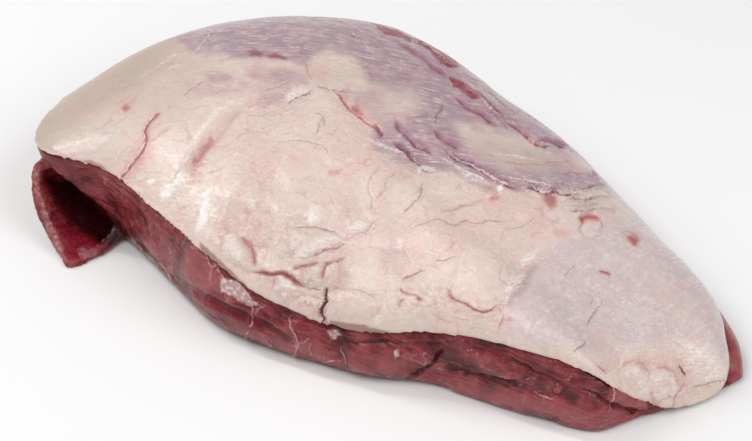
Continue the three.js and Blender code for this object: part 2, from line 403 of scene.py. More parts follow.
@dataclass(frozen=True)
class Viewpoint:
    """Where the camera stands, and how the photograph's pixels fall on the joint."""

    azimuth: float = 26.0
    elevation: float = 40.0
    lens: float = 85.0
    sensor: float = 36.0
    distance: float = 0.61861
    target: tuple[float, float, float] = (0.000135, -0.025071, 0.020)
    frame_width: int = 752
    frame_height: int = 441

    def axes(self) -> np.ndarray:
        """Gives the camera's right, up and back directions, one a row."""
        turn, lift = math.radians(self.azimuth), math.radians(self.elevation)
        right = np.array([math.cos(turn), math.sin(turn), 0.0])
        flat = math.cos(lift)
        back = np.array([math.sin(turn) * flat, -math.cos(turn) * flat, math.sin(lift)])
        return np.vstack([right, np.cross(back, right), back])

    def stand(self) -> np.ndarray:
        """Gives the camera's own place."""
        return np.array(self.target) + self.axes()[2] * self.distance

    def pixels(self, points: np.ndarray) -> np.ndarray:
        """Gives the pixel where each point shows."""
        seen = (points - self.stand()) @ self.axes().T
        scale = self.lens / self.sensor * self.frame_width / -seen[:, 2]
        across = self.frame_width / 2 + scale * seen[:, 0]
        down = self.frame_height / 2 - scale * seen[:, 1]
        return np.column_stack([across, down])

    def build(self) -> bpy.types.Object:
        """Makes the camera and gives it to the scene."""
        data = bpy.data.cameras.new("camera")
        data.lens, data.sensor_width, data.clip_start = self.lens, self.sensor, 0.01
        camera = bpy.data.objects.new("camera", data)
        bpy.context.scene.collection.objects.link(camera)
        turned = Matrix(self.axes().T.tolist()).to_4x4()
        camera.matrix_world = Matrix.Translation(Vector(self.stand())) @ turned
        bpy.context.scene.camera = camera
        return camera


VIEW = Viewpoint()


def read_points(mesh: bpy.types.Mesh) -> np.ndarray:
    """Reads a mesh's points, one a row."""
    points = np.empty(len(mesh.vertices) * 3)
    mesh.vertices.foreach_get("co", points)
    return points.reshape(-1, 3)


def write_points(mesh: bpy.types.Mesh, points: np.ndarray) -> None:
    """Moves a mesh's points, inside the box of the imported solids."""
    held = np.clip(points, CAD_BOX[0], CAD_BOX[1])
    mesh.vertices.foreach_set("co", held.ravel())
    mesh.update()


def tip_share(points: np.ndarray) -> np.ndarray:
    """Says how much each point belongs to the low front rim of the tip, from 0 to 1."""
    x, y, z = points.T / MM
    return ease(*TIP_ALONG, x) * ease(*TIP_SIDE, y) * ease(*TIP_LOW, z)


def settle(piece: bpy.types.Object) -> None:
    """Turns what a piece's modifiers make into its plain mesh, and removes them.

    Args:
        piece: The piece, with its modifiers.
    """
    graph = bpy.context.evaluated_depsgraph_get()
    seen = piece.evaluated_get(graph)
    mesh = bpy.data.meshes.new_from_object(seen, preserve_all_data_layers=True, depsgraph=graph)
    piece.modifiers.clear()
    worn = piece.data
    piece.data = mesh
    bpy.data.meshes.remove(worn)
    mesh.name = piece.name


class Skin:
    """The points of a dense mesh, with the layers that are cut and stained in them."""

    WANDER = ((0.0050, 1.8), (0.0016, 0.9))
    BREAKS = 0.0022
    LIGHT = (-0.8, -0.6)
    GRAZING = (0.02, 0.2)
    TAPER = 0.22

    def __init__(self, mesh: bpy.types.Mesh) -> None:
        """Reads the mesh and finds the pixel where each point shows."""
        count = len(mesh.vertices)
        self.mesh = mesh
        self.points = read_points(mesh)
        self.normals = np.empty(count * 3)
        mesh.vertex_normals.foreach_get("vector", self.normals)
        self.normals = self.normals.reshape(-1, 3)
        sight = VIEW.stand() - self.points
        sight /= np.linalg.norm(sight, axis=1)[:, None]
        self.facing = (sight * self.normals).sum(1)
        self.seen = ease(*self.GRAZING, self.facing)
        self.pixels = VIEW.pixels(self.points)
        self.layers = {layer: np.zeros(count) for layer in Layer}
        self.layers[Layer.OFFSET] += Stroke.THIN
        self.closest = np.full(count, Stroke.THIN)
        self.breaks = np.ones(count)

    def loosen(self) -> None:
        """Moves the pixels about a little, so that no line runs too straight."""
        drift = np.zeros_like(self.pixels)
        for size, reach in self.WANDER:
            spots = self.points / size
            moved = [noise.noise_vector(Vector(spot)) for spot in spots]
            drift += np.array([(v[0], v[1]) for v in moved]) * reach
        self.pixels = self.pixels + drift
        spots = self.points / self.BREAKS
        self.breaks = ease(-0.45, 0.25, np.array([noise.noise(Vector(spot)) for spot in spots]))

    def near(self, line: np.ndarray, reach: float) -> tuple[np.ndarray, np.ndarray, np.ndarray]:
        """Finds the points near a line.

        Args:
            line: The line's pixels.
            reach: How many pixels away still counts.

        Returns:
            The points' places in the list, their distance from the line, larger than 0
            on its right hand, and how far along it they lie, from 0 to 1.
        """
        inside = ((self.pixels > line.min(0) - reach) & (self.pixels < line.max(0) + reach)).all(1)
        chosen = np.flatnonzero(inside & (self.seen > 0))
        start, span = line[:-1], np.diff(line, axis=0)
        length = np.linalg.norm(span, axis=1)
        lead = self.pixels[chosen][:, None] - start
        share = np.clip((lead * span).sum(2) / length**2, 0.0, 1.0)
        apart = np.linalg.norm(lead - share[..., None] * span, axis=2)
        side = np.sign(span[:, 0] * lead[..., 1] - span[:, 1] * lead[..., 0])
        best = apart.argmin(1)
        rows = np.arange(len(chosen))
        before = np.concatenate([[0.0], np.cumsum(length)])
        run = (before[best] + share[rows, best] * length[best]) / before[-1]
        return chosen, apart[rows, best] * side[rows, best], run

    def raise_to(self, layer: Layer, chosen: np.ndarray, amount: np.ndarray) -> None:
        """Brings a layer up to an amount where it is lower."""
        self.layers[layer][chosen] = np.maximum(self.layers[layer][chosen], amount)

    def cut(self, stroke: Stroke) -> None:
        """Cuts a stroke in the relief, and stains what lies along it.

        Args:
            stroke: The stroke to cut.
        """
        line = stroke.line()
        chosen, offset, run = self.near(line, max(stroke.wide * Stroke.REACH, Stroke.THIN))
        across = offset / stroke.wide
        held = self.seen[chosen]
        if not stroke.blunt:
            held = held * (0.15 + 0.85 * ease(0.0, self.TAPER, run) * ease(1.0, 1.0 - self.TAPER, run))
        broken = held * (0.7 + 0.3 * self.breaks[chosen])
        self.layers[Layer.RELIEF][chosen] += stroke.mark.profile(across) * stroke.deep * MM * held
        self.raise_to(Layer.BLOOD, chosen, np.exp(-((across / 1.9) ** 2)) * stroke.blood * broken)
        self.raise_to(Layer.FILM, chosen, np.exp(-((across / 3.0) ** 2)) * stroke.film * held)
        # Broad strokes lay painted shade along their valley.
        if stroke.wide > Stroke.BROAD:
            self.raise_to(Layer.DARK, chosen, np.exp(-((across / 1.2) ** 2)) * stroke.dark * 0.7 * held)
        if stroke.dark or stroke.pale:
            self.note_line(stroke, line, chosen, offset, broken)

    def note_line(
        self, stroke: Stroke, line: np.ndarray, chosen: np.ndarray, offset: np.ndarray, held: np.ndarray
    ) -> None:
        """Notes how far the nearest line is, so that the finish draws it finer than the mesh.

        Args:
            stroke: The line's stroke.
            line: The line's pixels.
            chosen: The points' places in the list.
            offset: Their distance from the line, larger than 0 on its right hand.
            held: How much of the stroke is left at each point.
        """
        lead = line[-1] - line[0]
        lit = 1.0 if lead[0] * self.LIGHT[1] - lead[1] * self.LIGHT[0] > 0 else -1.0
        apart = np.abs(offset)
        near = apart < self.closest[chosen]
        spots = chosen[near]
        self.closest[spots] = apart[near]
        self.layers[Layer.OFFSET][spots] = offset[near] * lit
        fade = (held * ease(Stroke.THIN, Stroke.THIN * 0.6, apart))[near]
        self.layers[Layer.INK][spots] = stroke.dark * fade
        self.layers[Layer.GLEAM][spots] = stroke.pale * fade

    def fill(self, patch: Patch) -> None:
        """Fills a patch of one layer, and raises or lowers the surface in it.

        Args:
            patch: The patch to fill. A strength below 0 takes the layer away.
        """
        corners = np.array(patch.outline, float)
        ring = np.vstack([corners, corners[:1]])
        chosen, offset, _ = self.near(ring, patch.soft)
        x, y = self.pixels[chosen].T
        x0, y0 = ring[:-1].T
        x1, y1 = ring[1:].T
        spans = (y0 > y[:, None]) != (y1 > y[:, None])
        rise = np.where(y1 == y0, 1.0, y1 - y0)
        crossed = spans & (x[:, None] < (x1 - x0) * (y[:, None] - y0) / rise + x0)
        inside = crossed.sum(1) % 2 == 1
        depth = np.where(inside, np.abs(offset), -np.abs(offset))
        amount = ease(-patch.soft, patch.soft, depth) * self.seen[chosen]
        self.layers[Layer.RELIEF][chosen] += amount * patch.level * MM
        if patch.strength < 0:
            self.layers[patch.layer][chosen] *= 1.0 + amount * patch.strength
        else:
            self.raise_to(patch.layer, chosen, amount * patch.strength)

    def store(self) -> None:
        """Writes the layers on the mesh."""
        for layer, amounts in self.layers.items():
            attribute = self.mesh.attributes.new(layer.value, "FLOAT", "POINT")
            attribute.data.foreach_set("value", amounts.astype(np.float32))


@dataclass
class DenseCopy:
    """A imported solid's copy, smooth and dense enough to carry fine relief."""

    node: str
    name: str
    cell: float
    merge: float = 0.001 * MM
    flat: float = 40.0
    square: float = 60.0
    crease: float = 42.0
    crease_weight: float = 0.8
    coarse: float = 0.12
    calm: int = 3

    def build(self, hidden: Callable[[np.ndarray, np.ndarray], np.ndarray]) -> bpy.types.Object:
        """Makes the dense copy.

        Args:
            hidden: Says from the points and their normals where few faces will do.

        Returns:
            The new object, with a plain mesh.
        """
        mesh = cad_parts[self.node].data.copy()
        mesh.materials.clear()
        piece = bpy.data.objects.new(self.name, mesh)
        bpy.context.scene.collection.objects.link(piece)
        self.join_faces(mesh)
        rounded = piece.modifiers.new("rounded", "SUBSURF")
        rounded.levels = rounded.render_levels = 2
        dense = piece.modifiers.new("dense", "REMESH")
        dense.mode, dense.voxel_size = "VOXEL", self.cell
        settle(piece)
        everywhere = np.ones(len(piece.data.vertices))
        self.relax(piece.data, [0.5, -0.52] * self.calm, everywhere)
        self.thin_out(piece, hidden)
        return piece

    def join_faces(self, mesh: bpy.types.Mesh) -> None:
        """Merges the loose triangles into quads, and keeps the sharp edges sharp.

        Args:
            mesh: The copied mesh.
        """
        form = bmesh.new()
        form.from_mesh(mesh)
        bmesh.ops.remove_doubles(form, verts=form.verts, dist=self.merge)
        flat, square = math.radians(self.flat), math.radians(self.square)
        bmesh.ops.join_triangles(
            form, faces=form.faces, angle_face_threshold=flat, angle_shape_threshold=square
        )
        crease = form.edges.layers.float.get("crease_edge") or form.edges.layers.float.new("crease_edge")
        for edge in form.edges:
            if len(edge.link_faces) == 2 and edge.calc_face_angle() > math.radians(self.crease):
                edge[crease] = self.crease_weight
        form.to_mesh(mesh)
        form.free()

    @staticmethod
    def relax(mesh: bpy.types.Mesh, pulls: list[float], share: np.ndarray) -> None:
        """Draws points towards the middle of their neighbours.

        Args:
            mesh: The mesh whose points move.
            pulls: How far they move, one number for each turn.
            share: How much of the move each point takes, from 0 to 1.
        """
        points = read_points(mesh)
        ends = np.empty(len(mesh.edges) * 2, np.int32)
        mesh.edges.foreach_get("vertices", ends)
        ends = ends.reshape(-1, 2)
        ends = ends[(share[ends] > 0).any(1)]
        used, index = np.unique(ends, return_inverse=True)
        a, b = index.reshape(-1, 2).T
        spots, held, count = points[used], share[used][:, None], len(used)
        degree = (np.bincount(a, minlength=count) + np.bincount(b, minlength=count))[:, None]
        for pull in pulls:
            sums = [np.bincount(a, spots[b, k], count) + np.bincount(b, spots[a, k], count) for k in range(3)]
            spots = spots + (np.stack(sums, axis=1) / degree - spots) * held * pull
        points[used] = spots
        write_points(mesh, points)

    def thin_out(
        self, piece: bpy.types.Object, hidden: Callable[[np.ndarray, np.ndarray], np.ndarray]
    ) -> None:
        """Takes faces away where the surface doesn't show.

        Args:
            piece: The dense piece.
            hidden: Says from the points and their normals where few faces will do.
        """
        skin = Skin(piece.data)
        spare = hidden(skin.points, skin.normals)
        group = piece.vertex_groups.new(name="spare")
        chosen = np.flatnonzero(spare > 0.5)
        group.add(chosen.tolist(), 1.0, "REPLACE")
        share = len(chosen) / len(skin.points)
        thin = piece.modifiers.new("thin", "DECIMATE")
        thin.vertex_group = group.name
        thin.ratio = 1.0 - share * (1.0 - self.coarse)
        settle(piece)
        piece.vertex_groups.clear()

    @staticmethod
    def refine(piece: bpy.types.Object, strokes: tuple[Stroke, ...], reach: float) -> None:
        """Splits the faces near the strokes, so that thin lines are cut sharp.

        Args:
            piece: The dense piece.
            strokes: The lines that will be cut.
            reach: How many pixels from a line the faces are split.
        """
        skin = Skin(piece.data)
        fine = np.zeros(len(skin.points), bool)
        for stroke in strokes:
            chosen, offset, _ = skin.near(stroke.line(), reach)
            fine[chosen[np.abs(offset) < reach]] = True
        form = bmesh.new()
        form.from_mesh(piece.data)
        edges = [e for e in form.edges if fine[e.verts[0].index] and fine[e.verts[1].index]]
        bmesh.ops.subdivide_edges(form, edges=edges, cuts=1, use_grid_fill=True, smooth=0.0)
        bmesh.ops.triangulate(form, faces=[f for f in form.faces if len(f.verts) > 4])
        form.to_mesh(piece.data)
        form.free()


@dataclass(frozen=True)
class Lobules:
    """Soft fat as it grows: small cushions with narrow seams between them."""

    size: float
    wander: float
    round: float

    def gap(self, graph: Graph) -> Number:
        """Gives the distance to the nearest seam, in metres."""
        return graph.seam(graph.wander(graph.place(), self.size * 0.7, self.wander), self.size)

    def cushion(self, graph: Graph) -> Number:
        """Gives the cushions' height, from 0 in a seam to 1."""
        short = 1.0 - (self.gap(graph) / (self.size * self.round)).smaller(1.0)
        return 1.0 - short * short


PLATES = Lobules(size=13 * MM, wander=9 * MM, round=0.16)
CUSHIONS = Lobules(size=7.5 * MM, wander=5 * MM, round=0.42)
BEADS = Lobules(size=4.2 * MM, wander=3 * MM, round=0.3)


@dataclass(frozen=True)
class Grain:
    """A direction in which fibres lie."""

    run: tuple[float, float, float]
    across: tuple[float, float, float]
    length: float
    width: float

    def fibres(self, graph: Graph) -> Number:
        """Gives long thin streaks, from 0 to 1."""
        place = graph.wander(graph.place(), 30 * MM, 9 * MM)
        sockets = {
            "X": graph.along(place, self.run) / self.length,
            "Y": graph.along(place, self.across) / self.width,
            "Z": 0.0,
        }
        spot = graph.node("ShaderNodeCombineXYZ", {}, sockets).outputs[0]
        return graph.number("ShaderNodeTexNoise", {}, {"Vector": spot, "Scale": 1.0, "Detail": 3.0})


FILM_GRAIN = Grain(run=(0.95, 0.31, 0.0), across=(-0.31, 0.95, 0.35), length=14 * MM, width=0.7 * MM)
FAT_GRAIN = Grain(run=(0.9, 0.44, 0.0), across=(-0.28, 0.58, 0.77), length=4 * MM, width=0.8 * MM)
HAZE_GRAIN = Grain(run=(0.35, 0.94, 0.0), across=(0.92, -0.34, 0.2), length=4.5 * MM, width=1.0 * MM)
MEAT_GRAIN = Grain(run=(0.86, -0.5, 0.12), across=(0.1, 0.2, 0.97), length=7 * MM, width=0.8 * MM)


class ThinLines:
    """The cracks and strings of a finish, drawn finer than the mesh is."""

    def __init__(self, graph: Graph, layers: dict[Layer, Number]) -> None:
        """Works out the dark line, the painted shade around it, the painted highlight on its near side and
        the pale string, partly painted highlight.
        """
        place = graph.place()
        wobble = (graph.noise(place, 1.8 * MM, 4.0, 0.62) - 0.5) * 4.5
        apart = layers[Layer.OFFSET] + wobble
        ink, gleam = layers[Layer.INK], layers[Layer.GLEAM]
        gate = graph.noise(place, 2.4 * MM, 2.0)
        fine = graph.noise(place, 1.1 * MM, 2.0)
        width = (ink * 0.8 + 0.25) * (gate * 1.4 + 0.3)
        self.dark = apart.magnitude().ramp(width * 1.3, width * 0.2) * (ink * 0.75 + 0.2) * ink.ramp(0.0, 0.2)
        # halo: painted shade around each line, pinkish on the fat
        self.halo = apart.magnitude().ramp(4.2, 0.2) * ink.ramp(0.0, 0.9)
        dry = 1.0 - layers[Layer.BLOOD].ramp(0.3, 0.8)
        # lit: painted highlight on the line's near side
        self.lit = (apart - 1.9).magnitude().ramp(1.2, 0.2) * ink.ramp(0.1, 0.7) * fine.ramp(0.48, 0.62) * dry
        edge = (apart - ink.ramp(0.05, 0.2) * 2.0).magnitude().ramp(1.0, 0.1)
        # pale: the pale string, partly painted highlight
        self.pale = edge * gleam.ramp(0.02, 0.9) * (fine * 0.5 + gate * 0.5).ramp(0.36, 0.54)

    def height(self) -> Number:
        """Gives the height that the lines add to the surface, in metres."""
        return (self.pale * 0.1 + self.lit * 0.08 - self.dark * 0.16 - self.halo * 0.12) * MM


@dataclass
class Relief:
    """A tree that lifts a surface by its layers and by a repeating pattern."""

    name: str
    material: bpy.types.Material
    sizes: dict[str, float]

    def height(self, graph: ShapeGraph, given: dict[str, Number]) -> Number:
        """Gives the height of the surface from the layers and the sizes."""
        raise NotImplementedError

    def dress(self, piece: bpy.types.Object) -> None:
        """Builds the tree, puts it on the piece and settles the mesh."""
        tree = bpy.data.node_groups.new(self.name, "GeometryNodeTree")
        graph = ShapeGraph(tree)
        graph.socket("Surface", "NodeSocketGeometry")
        graph.socket("Surface", "NodeSocketGeometry", outward=True)
        sockets = {name: graph.socket(name, "NodeSocketFloat") for name in self.sizes}
        start = graph.node("NodeGroupInput")
        given = {name: Number(graph, graph.find(start.outputs, s.identifier)) for name, s in sockets.items()}
        store = {"data_type": "FLOAT_VECTOR", "domain": "POINT"}
        rest = {"Geometry": start.outputs[0], "Name": "rest", "Value": graph.place()}
        kept = graph.node("GeometryNodeStoreNamedAttribute", store, rest).outputs[0]
        normal = graph.node("GeometryNodeInputNormal").outputs[0]
        lift = graph.vector("SCALE", normal, scale=self.height(graph, given))
        moved = graph.node("GeometryNodeSetPosition", {}, {"Geometry": kept, "Offset": lift}).outputs[0]
        whole = graph.node("GeometryNodeRealizeInstances", {}, {"Geometry": moved}).outputs[0]
        done = graph.node("GeometryNodeSetMaterial", {}, {"Geometry": whole, "Material": self.material})
        graph.node("NodeGroupOutput", {}, {0: done.outputs[0]})
        modifier = piece.modifiers.new(self.name, "NODES")
        modifier.node_group = tree
        for name, size in self.sizes.items():
            modifier[sockets[name].identifier] = size
        settle(piece)
        write_points(piece.data, read_points(piece.data))
        piece.data.shade_smooth()


class FatRelief(Relief):
    """The relief of the fat: cushions, fine film fibres, and the strokes' own cuts."""

    def height(self, graph: ShapeGraph, given: dict[str, Number]) -> Number:
        """Gives the height of the surface from the layers and the sizes."""
        puff = graph.layer(Layer.PUFF.value)
        bare = 1.0 - graph.layer(Layer.FILM.value) * 0.8
        plates = (PLATES.cushion(graph) - 1.0) * given["Plate depth"] * bare * (puff * 1.2 + 0.25)
        beads = (BEADS.cushion(graph) - 1.0) * given["Bead depth"] * puff
        beads = beads + (CUSHIONS.cushion(graph) - 1.0) * given["Cushion depth"] * puff
        swell = (graph.noise(graph.place(), 16 * MM, 2.0) - 0.62) * given["Swell"]
        knead = (graph.noise(graph.place(), 4.5 * MM, 2.0) - 0.6) * given["Knead"] * (0.5 + puff)
        return graph.layer(Layer.RELIEF.value) + plates + beads + swell + knead


class MeatRelief(Relief):
    """The relief of the muscle: bundles that run along the wall."""

    def height(self, graph: ShapeGraph, given: dict[str, Number]) -> Number:
        """Gives the height of the surface from the layers and the sizes."""
        lumps = (graph.noise(graph.place(), 12 * MM, 2.0, 0.5) - 0.58) * given["Lump height"]
        dents = (graph.noise(graph.place(), 3.5 * MM, 3.0, 0.5) - 0.6) * given["Dent depth"]
        strands = (MEAT_GRAIN.fibres(graph) - 0.6) * given["Strand height"]
        free = 1.0 - graph.layer(Layer.EDGE.value)
        return graph.layer(Layer.RELIEF.value) + (lumps + dents + strands) * free


class FatPatterns:
    """The layers and patterns that the fat's finish is mixed from."""

    def __init__(self, g: FinishGraph) -> None:
        """Reads the layers and adds the noises, the fibres and the thin lines."""
        place = g.place()
        self.place = place
        self.layers = {layer: g.layer(layer.value) for layer in Layer}
        self.broad = g.noise(place, 24 * MM, 3.0, 0.55)
        self.medium = g.noise(g.wander(place, 12 * MM, 6 * MM), 6 * MM, 4.0, 0.6)
        self.small = g.noise(place, 2.0 * MM, 3.0, 0.6)
        self.mottle = g.noise(g.wander(place, 5 * MM, 3 * MM), 3.0 * MM, 4.0, 0.65)
        self.tiny = g.noise(place, 1.0 * MM, 3.0, 0.65)
        self.streak = FAT_GRAIN.fibres(g)
        self.fibres = FILM_GRAIN.fibres(g)
        self.scratch = HAZE_GRAIN.fibres(g)
        self.lines = ThinLines(g, self.layers)
        drift = (self.medium - 0.5) * 1.3 + (self.broad - 0.5) * 0.7 + (self.mottle - 0.5) * 0.5
        self.haze = (self.layers[Layer.HAZE_AND_LIGHT] + drift).ramp(0.15, 0.95)
        self.film = (self.layers[Layer.FILM] + drift * 0.8 + (self.fibres - 0.5) * 0.6).ramp(0.15, 0.95)
        self.veiled = self.film.ramp(0.3, 0.8)
        self.muscle = (self.layers[Layer.MUSCLE] + (self.small - 0.5) * 0.6).ramp(0.3, 0.6)
        self.painted_highlight = self.find_painted_highlight()

    def find_painted_highlight(self) -> Number:
        """Gives the painted highlight of wet fat, white in the base colour: smooth where it is strong, and
        flakes elsewhere.
        """
        pale = self.layers[Layer.PALE_AND_HIGHLIGHT]
        flake = self.streak * 0.45 + self.tiny * 0.3 + self.small * 0.25
        gleam = (flake + pale * pale * 0.26).ramp(0.5, 0.68) * pale.ramp(0.05, 0.8)
        # Painted glints: white specks in the wet areas.
        painted_glints = (self.tiny * 0.35 + self.streak * 0.65).ramp(0.57, 0.63) * self.medium.ramp(0.44, 0.54)
        return gleam.larger(painted_glints * self.layers[Layer.WET] * 0.9)


@dataclass(frozen=True)
class FatFinish:
    """Cream fat with pink bruises, thin brown seams and the lilac film over it, with painted highlights, and
    painted shade in its hollows, folds and cut side.
    """

    name: str = "veal_fat"
    cream: Paint = (232, 211, 199)
    rosy: Paint = (227, 196, 187)
    beige: Paint = (211, 190, 177)
    # milk: pale flecks and milky film threads, and painted highlights on cushion tops, haze ripples and gloss
    # patches
    milk_and_highlight: Paint = (244, 233, 226)
    # white: painted highlights, and the pale strings
    white: Paint = (250, 243, 238)
    # butter: yellower bare fat, and painted shade over the left shoulder and limb
    butter_and_shade: Paint = (195, 175, 160)
    lilac: Paint = (158, 124, 144)
    lilac_pale: Paint = (202, 177, 182)
    lilac_rosy: Paint = (190, 148, 150)
    # lilac_brown: brown in the film, and painted shade in hollows and folds
    lilac_brown: Paint = (152, 108, 114)
    haze: Paint = (217, 200, 198)
    haze_blue: Paint = (207, 189, 193)
    haze_rosy: Paint = (217, 189, 184)
    # seam: pink of the seams, and painted shade around the thin lines
    seam: Paint = (200, 150, 142)
    crack: Paint = (146, 92, 84)
    crevice: Paint = (70, 18, 22)
    # plum: red in the film, and painted shade in folds
    plum: Paint = (124, 58, 78)
    plum_pale: Paint = (172, 124, 144)
    red: Paint = (160, 66, 68)
    pink: Paint = (212, 152, 146)
    flesh: Paint = (168, 58, 66)
    flesh_deep: Paint = (120, 30, 40)
    # cut and cut_low: painted shade on the cut side, darkest at its foot; cut_low also colours the brown limb
    cut: Paint = (218, 194, 178)
    cut_low: Paint = (150, 106, 84)
    roughness: float = 0.27

    def build(self) -> bpy.types.Material:
        """Makes the material."""
        material = bpy.data.materials.new(self.name)
        material.use_nodes = True
        g = FinishGraph(material.node_tree)
        p = FatPatterns(g)
        bruise = g.mix(p.veiled * 0.7, paint(*self.red), paint(*self.plum))
        colour = self.bare_fat(g, p)
        colour = self.add_seams(g, p, colour)
        colour = self.add_veils(g, p, colour)
        colour = self.add_stains(g, p, colour, bruise)
        colour = self.add_cut_edge(g, p, colour)
        colour = self.add_gleams(g, p, colour, bruise)
        height = {"Strength": 1.0, "Distance": 1.0, "Height": self.fine_height(p)}
        wet, dull = p.layers[Layer.WET], p.layers[Layer.TAN].ramp(0.1, 0.6)
        shine = p.painted_highlight.larger(p.lines.pale)
        rough = self.roughness - wet * 0.13 - shine * 0.03 + dull * 0.2 + (p.small - 0.5) * 0.08
        shader = g.node(
            "ShaderNodeBsdfPrincipled",
            {},
            {
                "Base Color": colour,
                "Roughness": rough,
                "Normal": g.node("ShaderNodeBump", {}, height).outputs[0],
                "Specular IOR Level": 0.55,
                "Coat Weight": (0.12 + wet * 0.15) * (1.0 - p.muscle * 0.7) * (1.0 - dull),
                "Coat Roughness": 0.12,
                "Subsurface Weight": 0.12,
                "Subsurface Radius": (1.0, 0.45, 0.35),
                "Subsurface Scale": 0.003,
            },
        )
        g.node("ShaderNodeOutputMaterial", {}, {"Surface": shader.outputs[0]})
        return material

    def bare_fat(self, g: FinishGraph, p: FatPatterns) -> Socket:
        """Mixes the mottled cream of the bare fat, with painted shade that makes it darker and yellower over
        the shoulder, and yellower bare patches.
        """
        blush = (p.broad * 0.6 + p.medium * 0.4).ramp(0.42, 0.6) * 0.65
        colour = g.mix(blush, paint(*self.cream), paint(*self.rosy))
        colour = g.mix(p.medium.ramp(0.52, 0.36) * 0.4, colour, paint(*self.beige))
        colour = g.mix((p.small * 0.6 + p.streak * 0.4).ramp(0.5, 0.68) * 0.36, colour, paint(*self.milk_and_highlight))
        colour = g.mix((p.mottle * 0.6 + p.tiny * 0.4).ramp(0.49, 0.36) * 0.3, colour, paint(*self.beige))
        # Painted shade over the left shoulder and limb, and yellower bare patches.
        return g.mix(p.layers[Layer.TAN] * 0.75, colour, paint(*self.butter_and_shade))

    def add_seams(self, g: FinishGraph, p: FatPatterns, colour: Socket) -> Socket:
        """Adds the seams between the cushions, fine veins, and a painted highlight on the cushions' tops."""
        clear = 1.0 - p.layers[Layer.FILM] * 0.85
        puff = p.layers[Layer.PUFF]
        seams = PLATES.gap(g).ramp(0.5 * MM, 0.05 * MM) * p.medium.ramp(0.44, 0.6)
        beads = BEADS.gap(g).ramp(0.45 * MM, 0.05 * MM) * puff * p.small.ramp(0.35, 0.6)
        veins = g.vein(g.wander(p.place, 5 * MM, 3 * MM), 9 * MM, 0.012) * p.broad.ramp(0.46, 0.6)
        ticks = g.vein(g.wander(p.place, 3 * MM, 2 * MM), 5 * MM, 0.014) * p.mottle.ramp(0.56, 0.66)
        pillow = CUSHIONS.gap(g).ramp(0.9 * MM, 0.1 * MM) * puff * p.medium.ramp(0.4, 0.56)
        narrow = (seams * 0.4).larger(beads * 0.45).larger(pillow * 0.55) * clear
        # Painted highlight on the cushions' tops.
        colour = g.mix(puff.ramp(0.6, 1.0) * 0.16, colour, paint(*self.milk_and_highlight))
        colour = g.mix(narrow, colour, paint(*self.seam))
        colour = g.mix(veins * 0.4 * clear, colour, paint(*self.pink))
        return g.mix(ticks * 0.45, colour, paint(*self.crack))

    def add_veils(self, g: FinishGraph, p: FatPatterns, colour: Socket) -> Socket:
        """Lays the pale haze of the tip, with painted highlights on its ripples, and the lilac film of the
        back over the fat.
        """
        misty = g.mix(p.mottle.ramp(0.42, 0.6), paint(*self.haze_blue), paint(*self.haze))
        misty = g.mix((p.broad * 0.5 + p.medium * 0.5).ramp(0.48, 0.62) * 0.7, misty, paint(*self.haze_rosy))
        ripple = p.scratch * 0.5 + p.mottle * 0.3 + p.medium * 0.2
        # Painted highlights on the haze's ripples.
        misty = g.mix(ripple.ramp(0.51, 0.64) * 0.4, misty, paint(*self.milk_and_highlight))
        misty = g.mix(ripple.ramp(0.46, 0.34) * 0.25, misty, paint(*self.lilac_rosy))
        colour = g.mix(p.haze * 0.85, colour, misty)
        woven = (p.fibres * 0.5 + p.medium * 0.5).ramp(0.42, 0.58) * 0.8
        rosy = (p.broad * 0.4 + p.medium * 0.6).ramp(0.5, 0.6) * 0.7
        brown = (p.mottle * 0.75 + p.fibres * 0.25).ramp(0.46, 0.36) * 0.7
        milky = (p.mottle * 0.5 + p.fibres * 0.5).ramp(0.54, 0.66) * 0.7
        weave = g.mix(woven, paint(*self.lilac), paint(*self.lilac_pale))
        weave = g.mix(rosy, weave, paint(*self.lilac_rosy))
        weave = g.mix(brown, weave, paint(*self.lilac_brown))
        weave = g.mix(milky, weave, paint(*self.milk_and_highlight))
        return g.mix(p.film * 0.86, colour, weave)

    def add_stains(self, g: FinishGraph, p: FatPatterns, colour: Socket, bruise: Socket) -> Socket:
        """Adds the pink and red stains, and the bare muscle at the crest."""
        blood = p.layers[Layer.BLOOD]
        tint = blood + (p.small - 0.5) * 0.35 * blood.ramp(0.0, 0.35)
        stain = g.mix(p.veiled, paint(*self.pink), paint(*self.plum_pale))
        colour = g.mix(tint.ramp(0.0, 0.8) * 0.8, colour, stain)
        colour = g.mix(tint.ramp(0.5, 1.7) * 0.9, colour, bruise)
        grain = (p.fibres * 0.5 + p.mottle * 0.5).ramp(0.42, 0.58)
        raw = g.mix(grain, paint(*self.flesh_deep), paint(*self.flesh))
        return g.mix(p.muscle * 0.95, colour, raw)

    def add_cut_edge(self, g: FinishGraph, p: FatPatterns, colour: Socket) -> Socket:
        """Paints shade on the cut side of the fat, darker towards its foot, and painted shade in the hollows
        and folds.
        """
        given = p.layers[Layer.EDGE]
        edge = (given + (p.medium - 0.5) * 0.3 * given.ramp(0.0, 0.2)).smaller(1.0)
        # Painted shade on the cut side, darker towards its foot.
        colour = g.mix(edge.ramp(0.3, 0.9) * 0.7, colour, paint(*self.cut))
        colour = g.mix(edge.ramp(0.62, 1.0) * 0.8, colour, paint(*self.cut_low))
        # Painted shade in the hollows and folds.
        shade = g.mix(p.veiled, paint(*self.lilac_brown), paint(*self.plum))
        return g.mix(p.layers[Layer.DARK] * 0.85, colour, shade)

    def add_gleams(self, g: FinishGraph, p: FatPatterns, colour: Socket, bruise: Socket) -> Socket:
        """Adds the painted white highlights, and the thin lines with painted shade around them and a painted
        highlight beside them.
        """
        # Painted highlight: the pale patches turn milky white.
        colour = g.mix(p.layers[Layer.PALE_AND_HIGHLIGHT].ramp(0.1, 1.0) * 0.45, colour, paint(*self.milk_and_highlight))
